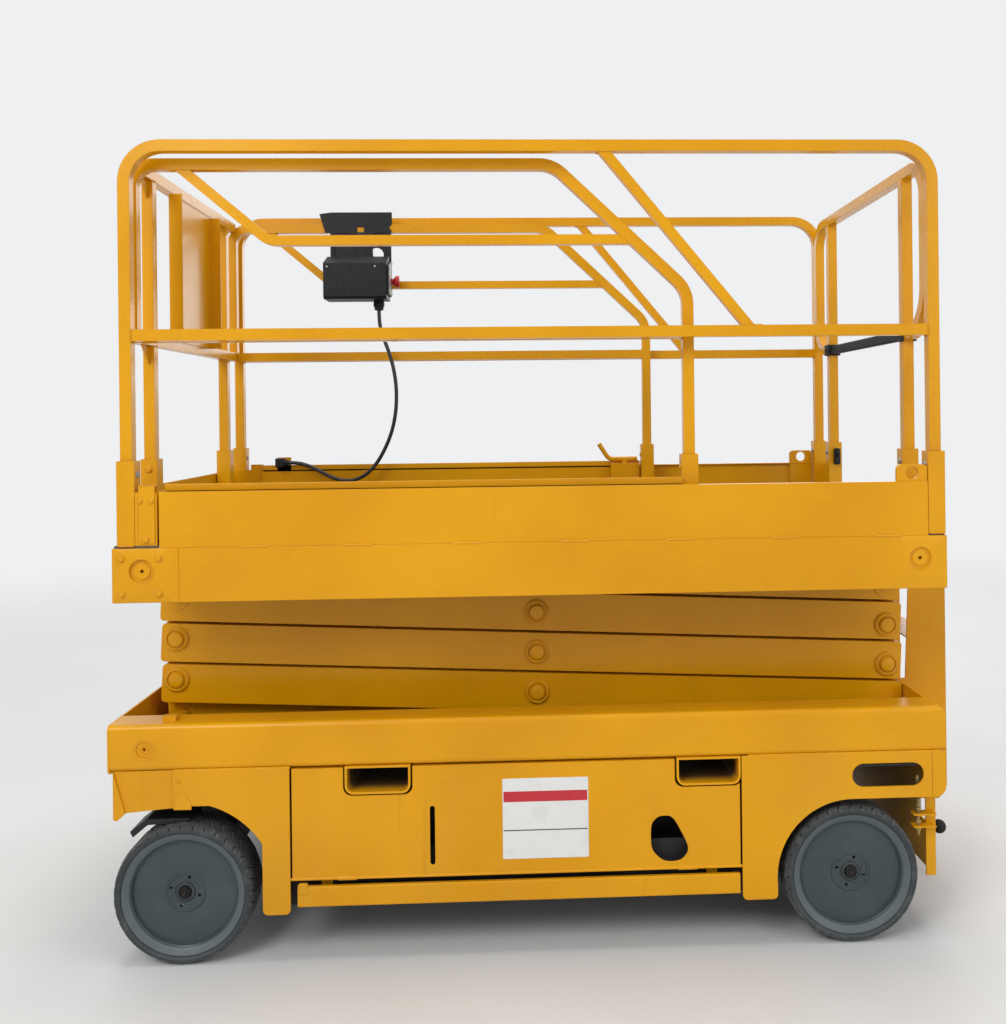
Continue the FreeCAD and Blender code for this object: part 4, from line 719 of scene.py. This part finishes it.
def makeWheels(facts):
    rearNuts = Shape()
    for end, tilt in facts["flangeTurns"].items():
        for sideName, side in sides:
            wheel = "%s_%s" % (end, sideName)
            makeTyre("tyre_" + wheel, "wheel_" + wheel, facts)
            centre = np.add(*corners("disc_" + wheel)) / 2
            centre[1] = side * (sideY - facts["half"])
            lines = Shape()
            addFlangeLines(lines, centre, side, tilt, flangeLines)
            lines.make("hubFlange_" + wheel, "wheel", "wheel_" + wheel, "wheel_paint")
            nuts = rearNuts if end == "rear" else Shape()
            addHubNut(nuts, centre, side, hubNut)
            if end == "front":
                nuts.make("hubNut_" + sideName, "grease", "knuckle_" + sideName, "dark_paint")
    rearNuts.make("hubNutsRear", "grease", "chassis", "dark_paint")


makeWheels(wheelFacts)
print("wheels made")


# Steering deflectors over the front tyres

deflector = {
    "x": (-1.200, -1.155, -1.036),
    "z": (0.357, 0.3905, 0.3905),
    "y": (0.456, 0.562),
    "sheet": 0.004,
    "lip": (0.012, 0.016, 0.003),  # its depth at the rear and at the front, and its thickness
    "bracket": (-1.078, 0.165),  # its front edge and its lower end
}


def makeDeflectors(facts):
    # a bent sheet, a lip along its outer edge and the bracket at its inner one
    (x0, x1, x2), (z0, z1, z2) = facts["x"], facts["z"]
    inner, outer = facts["y"]
    t = facts["sheet"]
    lipRear, lipFront, lipThick = facts["lip"]
    bent = [(x0, z0), (x1, z1), (x2, z2), (x2, z2 - t), (x1 + t / 4, z1 - t), (x0 + t / 2, z0 - t)]
    lip = [(x0, z0), (x1, z1), (x2, z2), (x2, z2 - lipRear), (x1 + lipFront / 4, z1 - lipFront),
           (x0 + lipFront / 2, z0 - lipFront)]
    bracketX, bracketLow = facts["bracket"]
    bracket = rectangle(bracketX, x2, bracketLow, z2 - t / 2)
    for sideName, side in sides:
        far = max(side, 0)  # plates grow towards -Y, so on the far side they start further out
        shape = Shape()
        start = max(side * inner, side * outer)
        shape.grid(plate(bent, 0.0008, nearWay, start, outer - inner, 0.0004, 2))
        shape.grid(plate(lip, 0.003, nearWay, side * outer + far * lipThick, lipThick, 0.0005, 2))
        shape.grid(plate(bracket, 0.006, nearWay, side * inner + far * t, t))
        shape.make("deflector_" + sideName, "dark", "knuckle_" + sideName, "dark_paint")


makeDeflectors(deflector)


# Sign on the near door, left blank: white with a red band and a thin dark line

doorY = -0.595  # outer face of the near door
sign = {
    "sheet": (-0.171, 0.068, 0.264, 0.487),
    "margin": 0.003,
    "bands": (("signBand", "signRed", 0.422, 0.451), ("signLine", "signDark", 0.3415, 0.3445)),
    "corner": 0.004,
    "place": (0.0002, 0.0012),  # start inwards of the door's face, and thickness
    "bandPlace": (-0.0008, 0.0006),
}


def makeSign(facts):
    x0, x1 = facts["sheet"][:2]
    start, thick = facts["place"]
    sheet = plate(rectangle(*facts["sheet"]), facts["corner"], nearWay, doorY + start, thick, 0.0003)
    Shape().grid(sheet).make("signSheet", "signWhite", "door_near")
    start, thick = facts["bandPlace"]
    for name, finish, z0, z1 in facts["bands"]:
        band = rectangle(x0 + facts["margin"], x1 - facts["margin"], z0, z1)
        strip = plate(band, 0.0, nearWay, doorY + start, thick, 0.0001)
        Shape().grid(strip).make(name, finish, "door_near")


makeSign(sign)

keyWindow = {
    "left": 0.242,
    "outline": ((0.0, 0.278), (0.034, 0.244), (0.082, 0.244), (0.104, 0.266), (0.104, 0.290), (0.062, 0.372),
                (0.022, 0.372), (0.0, 0.350)),
    "share": 0.36,
    "reach": 1.10,
    "proud": 0.0006,
    "sheet": 0.004,
}


def makeKeyWindows(facts):
    # a rolled rim that rounds the corners of the window over the power switch, on both doors
    inner = roundedOutline(facts["outline"], 0.0, 6, facts["share"]) + (facts["left"], 0.0)
    middle = (inner.min(axis=0) + inner.max(axis=0)) / 2
    outer = middle + (inner - middle) * facts["reach"]
    crest = inner * 0.7 + outer * 0.3
    proud = facts["proud"]
    rings = ((outer, 0.0005), (outer, -proud * 0.5), (crest, -proud), (inner, -proud * 0.3),
             (inner, facts["sheet"]))
    for sideName, side in sides:
        rim = Shape()
        rim.grid(np.stack([upright(ring, -side * (doorY + depth)) for ring, depth in rings]), closed=True)
        rim.make("keyWindowRim_" + sideName, "yellowLow", "door_" + sideName)


makeKeyWindows(keyWindow)
print("deflectors, sign and door rims made")


# Scissor stack: weld rings and domed ends round the pins

stack = {
    "frontX": -1.1465,
    "rearX": 1.0115,
    "base": 0.593,
    "pitch": 0.122,
    "levels": 4,
    "weld": (0.0305, 0.0042),
    "weldY": 0.324,
    "pinY": 0.328,
    "cap": ((0.022, -0.003), (0.022, 0.0035), (0.02046, 0.0062), (0.0176, 0.0072), (0.0, 0.0072)),
}


def addPinEnd(shape, x, z, facts):
    out = (0.0, -1.0, 0.0)
    addRing(shape, (x, -facts["weldY"], z), *facts["weld"], out)
    shape.grid(turned(facts["cap"], (x, -facts["pinY"], z), out, 40))


def makePinEnds(facts):
    middle = (facts["frontX"] + facts["rearX"]) / 2
    top = facts["levels"]
    for level in range(1, top + 1):
        high = facts["base"] + facts["pitch"] * level
        low = high - facts["pitch"]
        if level < top:  # the top level's ends are flush under the platform
            ends = Shape()
            if level < top - 1:
                addPinEnd(ends, facts["frontX"], high, facts)
            if level > 1:
                addPinEnd(ends, facts["rearX"], low, facts)
            ends.mirror().make("pinEnds_%d" % level, "yellow", "outer_%d" % level)
        centre = Shape()
        addPinEnd(centre, middle, (low + high) / 2, facts)
        centre.mirror().make("middlePins_%d" % level, "yellow", "inner_%d" % level)


makePinEnds(stack)
print("pin ends made")


# Platform: rail clips, proud faces, bolted end plates, weld beads, socket bolts and the gate's latch

clipFacts = {
    "board": (-1.1645, -1.1045, 1.1502, 1.2965),
    "clip": (-1.1535, -1.1095, 1.1560, 1.3170),
    "bolts": ((-1.1490, 1.272, 0.011), (-1.1180, 1.272, 0.011), (-1.1335, 1.168, 0.015)),  # x, z, head
    "washer": 0.7,
    "y": 0.5945,
    "sheet": 0.004,
    "fold": 0.016,  # how far it reaches inwards over the board
    "tail": 0.045,  # its inner end, down from the top
    "bevel": 0.001,
}


def makeClips(facts):
    # end board between the corner post and the kick plate, with a clip bent over its top edge
    y, t, bevel = -facts["y"], facts["sheet"], facts["bevel"]
    x0, x1, z0, z1 = facts["clip"]
    inside = y + facts["fold"]
    shape = Shape()
    shape.grid(plate(rectangle(*facts["board"]), 0.0, nearWay, y, t))
    shape.grid(plate(rectangle(x0, x1, z0, z1), 0.004, nearWay, y - t, t, bevel))
    shape.grid(plate(rectangle(y - 2 * t, inside, z1 - t, z1), 0.0015, endWay, x0, x1 - x0, bevel))
    shape.grid(plate(rectangle(x0, x1, z1 - facts["tail"], z1), 0.003, nearWay, inside, t, bevel))
    for x, z, head in facts["bolts"]:
        addBolt(shape, (x, y - 2 * t, z), (0, -1, 0), head, head * facts["washer"])
    shape.mirror().make("railClips", "yellow", "platform")


makeClips(clipFacts)

pinZ = 1.081  # of the stack's top pins, seen through the platform's plates
platformFacts = {
    "plates": (  # edges, the hole's x, z and radius, the thickness, and how far out the hole's rim stands
        ((-1.047, 1.090, 0.9955, 1.1435), (1.0135, pinZ, 0.032), 0.0026, 0.00156),
        ((-1.2255, -1.046, 0.996, 1.1432), (stack["frontX"], pinZ, 0.034), 0.00494, 0.0039),
    ),
    "rim": (0.0005, 0.0020),  # its radius beyond the hole's, and its own
    "boltX": (-1.200, -1.099),
    "boltZ": (1.117, 1.020),
    "boltOut": 0.00494,
    "tackStarts": (-0.88, -0.60, -0.30, 0.0, 0.296, 0.59, 0.885),
    "tack": (0.08, 1.1445, 0.0012, 0.0036, 0.006),  # length, height, distance out, radius and ripple
    "footX": (-1.1885, 1.064),
    "foot": (0.022, 1.1505, 0.0002, 0.0028),  # half length, height, distance out and radius
}


def makePlatformDressing(facts):
    # the beam's face stands a little proud of the kick plate above it, and the bolted plate a little more
    yellow = Shape()
    wider, tube = facts["rim"]
    for edges, hole, thick, out in facts["plates"]:
        x, z, radius = hole
        yellow.grid(holedPlate(edges, hole, -sideY, thick), closed=True)
        addRing(yellow, (x, -sideY - out, z), radius + wider, tube, (0, 1, 0))
    for z in facts["boltZ"]:
        for x in facts["boltX"]:
            addBolt(yellow, (x, -sideY - facts["boltOut"], z), (0, -1, 0), *boltSizes["plate"])
    length, height, out, radius, ripple = facts["tack"]
    for start in facts["tackStarts"]:
        addBeadX(yellow, start, start + length, -sideY - out, height, radius, ripple)
    half, height, out, radius = facts["foot"]
    for x in facts["footX"]:
        addBeadX(yellow, x - half, x + half, -sideY - out, height, radius)
    yellow.mirror().make("platformDressing", "yellow", "platform")


makePlatformDressing(platformFacts)

socketFacts = {"x": (-1.189, 1.064), "y": 0.575, "crossY": 0.378,
               "half": 0.024, "boltZ": 1.345, "footZ": 1.151}


def makeSocketDressing(facts):
    # a bolt through each socket and a weld round its foot
    welds, bolts = Shape(), Shape()
    half, z = facts["half"], facts["footZ"]
    frontX, rearX = facts["x"]
    for x, y, way in ((frontX, facts["y"], 1), (rearX, facts["y"], -1), (rearX, facts["crossY"], -1)):
        addBolt(bolts, (x + way * half, -y, facts["boltZ"]), (way, 0, 0), *boltSizes["rail"])
        inner, outer = half - y, -half - y
        addBeadX(welds, x - half, x + half, inner, z, weldFacts["foot"])
        for edge in (x - half, x + half):
            addBeadY(welds, inner, outer + weldFacts["foot"], edge, z, weldFacts["foot"])
    welds.mirror().make("socketWelds", "yellow", "platform")
    bolts.mirror().make("socketBolts", "zinc", "platform", "chrome")


makeSocketDressing(socketFacts)

latchFacts = {"place": (1.066, 0.354, 1.33), "size": (0.020, 0.022, 0.060), "loop": (0.008, 0.009, 0.003)}


def makeLatch(facts):
    # rubber gate latch: a housing with a loop, on the far entry post's socket
    x, y, z = facts["place"]
    w, d, h = facts["size"]
    body = rectangle(x - w / 2, x + w / 2, z - h / 2, z + h / 2)
    shape = Shape().grid(plate(body, 0.006, nearWay, y, d, 0.002))
    up, radius, tube = facts["loop"]
    addRing(shape, (x, y - d, z + up), radius, tube, (1, 0, 0), 24)
    shape.make("gateLatch", "black", "platform", "black_plastic")


makeLatch(latchFacts)
print("platform dressed")


# Guardrails: weld beads at the ends of the mid rails and braces

railFacts = {
    "top": 2.248,
    "mid": 1.727,
    "half": 0.016,
    "braceX": (0.129, 0.557),  # where it meets the top rail and the mid rail
    "brace": (0.019, 0.014),  # half the joint's length and width
}


def makeRailWelds(facts):
    shape = Shape()
    bead, y = weldFacts["rail"], -socketFacts["y"]
    half, mid = facts["half"], facts["mid"]
    frontX, rearX = socketFacts["x"]
    for x in (frontX + half, rearX - half):
        for z in (mid - half, mid + half):
            addBeadY(shape, y - half, y + half, x, z, bead)
        for side in (y - half, y + half):
            addBead(shape, (x, side, mid - half), (x, side, mid + half), bead, (1, 0, 0))
    reach, width = facts["brace"]
    for x, z in zip(facts["braceX"], (facts["top"] - half, mid + half)):
        for side in (y - width, y + width):
            addBeadX(shape, x - reach, x + reach, side, z, bead)
    shape.mirror().make("railWelds", "yellowRail", "platform")


makeRailWelds(railFacts)

extensionFacts = {
    "rails": (2.212, 1.727),
    "gusset": (0.055, 0.006),  # its legs and its thickness
    "midEnd": (0.359, 0.509),
    "sockets": ((-1.194, 0.378), (0.374, 0.509)),  # at the front post and at the mid rail's end
    "footZ": 1.1635,
    "bolts": (((-1.218, -0.378, 1.345), (-1, 0, 0), "rail"), ((-1.194, -0.402, 1.350), (0, -1, 0), "plate"),
              ((0.351, -0.509, 1.340), (-1, 0, 0), "rail")),
    "hem": (-1.100, 0.350, 0.548, 1.290, 1.3155),
    "hemSheet": 0.004,
}


def makeExtensionDressing(facts):
    # gussets beside the front posts, beads on rails and sockets, bolts and the kick plates' folded edge
    yellow = Shape()
    rail, socket = railFacts["half"], socketFacts["half"]
    x, y = facts["sockets"][0]
    leg, thick = facts["gusset"]
    for z in facts["rails"]:
        foot, corner = z - rail, -y - rail
        gusset = [(corner, foot), (corner - leg, foot), (corner, foot - leg)]
        yellow.grid(plate(gusset, 0.004, endWay, x - thick / 2, thick))
        for edge in (x - rail, x + rail):
            addBeadY(yellow, corner, corner + 2 * rail, edge, foot, weldFacts["rail"])
    x, y = facts["midEnd"]
    mid = railFacts["mid"]
    for z in (mid - rail, mid + rail):
        addBeadY(yellow, -y - rail, -y + rail, x, z, weldFacts["rail"])
    for x, y in facts["sockets"]:
        for side in (-socket, socket):
            addBeadX(yellow, x - socket, x + socket, side - y, facts["footZ"], weldFacts["foot"])
    for place, axis, size in facts["bolts"]:
        addBolt(yellow, place, axis, *boltSizes[size])
    x0, x1, y, z0, z1 = facts["hem"]
    yellow.grid(plate(rectangle(-y, -y + facts["hemSheet"], z0, z1), 0.0016, endWay, x0, x1 - x0, 0.001))
    yellow.mirror().make("extensionDressing", "yellow", "extension")


makeExtensionDressing(extensionFacts)
print("extension dressed")


# Control box: pale face plate with screws, lid screws, back plate and the cable's gland nut

controlFacts = {
    "inset": 0.011,
    "faceLow": 0.018,
    "faceTop": (0.016, 0.121),  # down from the lid at the back, and up from the bottom at the front
    "faceThick": 0.0016,
    "screw": ((0.0032, 0.0), (0.0032, 0.0016), (0.0022, 0.0024), (0.0, 0.0024)),
    "screwInsets": ((0.007, 0.008), (-0.007, 0.008), (-0.007, -0.011), (0.007, -0.011)),
    "lidScrew": ((0.0036, -0.001), (0.0036, 0.0012), (0.0025, 0.0020), (0.0, 0.0020)),
    "lidScrewX": (-0.815, -0.640),
    "lidScrewUp": 0.118,
    "back": (-0.815, -0.594, 2.050, 2.195),
    "backHole": (-0.649, 2.110, 0.0265),
    "backY": 0.485,
    "backThick": 0.003,
    "nut": (-0.636, 0.436, 1.8950),
    "nutProfile": ((0.0125, 0.0), (0.0165, 0.001), (0.0175, 0.013), (0.0205, 0.014), (0.0205, 0.028),
                   (0.0195, 0.0300), (0.0195, 0.037), (0.0125, 0.037)),
}


def makeControlDressing(facts):
    low, high = corners("control_box")
    y0, y1 = low[1] + facts["inset"], high[1] - facts["inset"]
    z0 = low[2] + facts["faceLow"]
    down, up = facts["faceTop"]
    outline = [(y0, z0), (y1, z0), (y1, high[2] - down), (y0, low[2] + up)]
    facePlate = Shape().grid(plate(outline, 0.004, endWay, high[0] - 0.0002, facts["faceThick"], 0.0004))
    facePlate.make("controlFace", "facePlate", "extension", "black_plastic")
    screws = Shape()
    for (y, z), (inY, inZ) in zip(outline, facts["screwInsets"]):
        screws.grid(turned(facts["screw"], (high[0] + 0.0012, y + inY, z + inZ), (1, 0, 0), 16))
    for x in facts["lidScrewX"]:
        screws.grid(turned(facts["lidScrew"], (x, low[1], low[2] + facts["lidScrewUp"]), (0, -1, 0), 16))
    screws.make("controlScrews", "zinc", "extension", "chrome")
    back = Shape()
    back.grid(holedPlate(facts["back"], facts["backHole"], facts["backY"], facts["backThick"]), closed=True)
    back.grid(turned(facts["nutProfile"], facts["nut"], (0, 0, 1), 24), closed=True)
    back.make("controlBack", "black", "extension", "black_plastic")


makeControlDressing(controlFacts)


# Chassis: pin rings, skirt bolts and gussets, seam welds, valve rod behind the rear wheel, guard lugs

chassisFacts = {
    "pinRings": ((0.0006, 0.0285, 0.0022, 40), (0.0026, 0.0115, 0.0015, 24)),  # inwards, radius, tube, steps
    "skirtBolt": (-1.055, 0.505),
    "seams": ((-1.072, -0.752), (0.516, 1.074)),
    "seam": (0.004, 0.5335, 0.0042, 0.012),  # distance inwards, height, radius and ripple
    "gusset": ((-1.070, 0.427), (-1.018, 0.427), (-1.022, 0.445), (-1.040, 0.474), (-1.054, 0.474),
               (-1.068, 0.445)),
    "gussetThick": 0.004,
}


def makeChassisDressing(facts):
    yellow = Shape()
    y = -sideY
    for inwards, radius, tube, steps in facts["pinRings"]:
        addRing(yellow, (stack["frontX"], y + inwards, stack["base"]), radius, tube, (0, 1, 0), steps)
    yellow.grid(plate(facts["gusset"], 0.006, nearWay, y + 0.001, facts["gussetThick"], 0.0015))
    x, z = facts["skirtBolt"]
    addBolt(yellow, (x, y, z), (0, -1, 0), *boltSizes["skirt"])
    inwards, height, radius, ripple = facts["seam"]
    for x0, x1 in facts["seams"]:
        addBeadX(yellow, x0, x1, y + inwards, height, radius, ripple)
    yellow.mirror().make("chassisDressing", "yellowLow", "chassis")


makeChassisDressing(chassisFacts)

valveFacts = {
    "place": (1.012, -0.566),
    "brackets": (0.346, 0.311),
    "bracket": (0.996, 1.062, -0.578, -0.544),
    "bracketThick": 0.004,
    "rod": ((0.0, 0.286), (0.004, 0.286), (0.0045, 0.287), (0.0045, 0.458), (0.0, 0.458)),
    "springTurns": 11,
    "springZ": (0.350, 0.444),
    "spring": (0.0078, 0.0013),
    "nuts": (0.300, 0.322, 0.358, 0.446),
    "nut": ((0.008, 0.0), (0.008, 0.006), (0.007, 0.007), (0.0, 0.007)),
}


def makeValveRod(facts):
    # two brackets on the rear plate's edge, a rod through them, its nuts and the coil spring round it
    x, y = facts["place"]
    metal, worn = Shape(), Shape()
    thick = facts["bracketThick"]
    for z in facts["brackets"]:
        worn.grid(plate(rectangle(*facts["bracket"]), 0.004, flatWay, z - thick / 2, thick))
    metal.grid(turned(facts["rod"], (x, y, 0.0), (0, 0, 1), 16))
    z0, z1 = facts["springZ"]
    radius, wire = facts["spring"]
    turns = np.linspace(0.0, 2.0 * np.pi * facts["springTurns"], 16 * facts["springTurns"])
    coil = [x + radius * np.cos(turns), y + radius * np.sin(turns), z0 + (z1 - z0) * turns / turns[-1]]
    metal.grid(swept(ringSection(wire, 6), np.stack(coil, 1), (0, 0, 1)))
    for z in facts["nuts"]:
        metal.grid(turned(facts["nut"], (x, y, z), (0, 0, 1), 6))
    metal.make("valveRod", "brass", "chassis", "chrome")
    worn.make("valveBrackets", "yellowLow", "chassis")


makeValveRod(valveFacts)

guardFacts = {"lug": (-0.7360, -0.707, 0.182, 0.2135), "corner": 0.009, "thick": 0.012, "proud": 0.0016}


def makeGuardLugs(facts):
    # a rounded lug on the front end of each pothole guard
    thick = facts["thick"]
    face = corners("pothole_guard_near")[0][1] - facts["proud"]
    lug = plate(rectangle(*facts["lug"]), facts["corner"], nearWay, face + thick, thick, 0.002)
    for sideName, side in sides:
        shape = Shape().grid(lug * (1.0, -side, 1.0))
        shape.make("guardLug_" + sideName, "yellowLow", "guard_" + sideName)


makeGuardLugs(guardFacts)
print("chassis dressed")


# Stage

stageSetup = {
    "floorSize": 30.0,
    "fade": (2.5, 9.0),  # distances between which the floor turns into the backdrop
    "floor": (0.66, 0.66, 0.65),
    "backdrop": (0.86, 0.87, 0.88),
    "lamps": (  # name, place, size and power
        ("key", (-3.2, -5.2, 5.2), 3.0, 230.0),
        ("fill", (4.6, -4.4, 3.2), 4.0, 95.0),
        ("top", (0.0, 1.0, 14.0), 8.0, 1000.0),
        ("back", (1.5, 5.5, 3.6), 4.0, 95.0),
    ),
    "aim": (0.0, 0.0, 1.0),
    "sky": (0.80, 0.83, 0.86),
    "skyStrength": 0.55,
}


def makeFloor(setup):
    half = setup["floorSize"] / 2
    mesh = bpy.data.meshes.new("floor")
    mesh.from_pydata([(x, y, 0.0) for x, y in rectangle(-half, half, -half, half)], [], [(0, 1, 2, 3)])
    g = Graph("paleFloor")
    cloud = g.noise(1.3, 5.0).ramp(0.3, 0.7)
    tint = g.mix(cloud * 0.35, setup["floor"], tuple(c * 0.9 for c in setup["floor"]))
    mesh.materials.append(g.finish(Base_Color=tint, Roughness=0.55))
    distance = g.add("ShaderNodeVectorMath", {"operation": "LENGTH"}, [g.place()], out=1)
    far = g.add("ShaderNodeEmission", None, {"Color": setup["backdrop"]})
    g.cover(distance.ramp(*setup["fade"]) * g.seen(), far, "Material Output")
    floor = bpy.data.objects.new("floor", mesh)
    scene.collection.objects.link(floor)


def makeSky(setup):
    g = Graph("paleStudio", bpy.data.worlds, "Background")
    scene.world = g.finish(Color=setup["sky"], Strength=setup["skyStrength"])
    g.cover(g.seen(), g.add("ShaderNodeBackground", None, {"Color": setup["backdrop"]}), "World Output")


def makeLamps(setup):
    for name, place, size, power in setup["lamps"]:
        data = bpy.data.lights.new(name, "AREA")
        data.size = size
        data.energy = power
        lamp = bpy.data.objects.new(name, data)
        lamp.location = place
        lamp.rotation_mode = "QUATERNION"
        lamp.rotation_quaternion = (Vector(setup["aim"]) - Vector(place)).to_track_quat("-Z", "Y")
        scene.collection.objects.link(lamp)


makeFloor(stageSetup)
makeSky(stageSetup)
makeLamps(stageSetup)
scene.view_settings.view_transform = "Standard"
print("stage made")
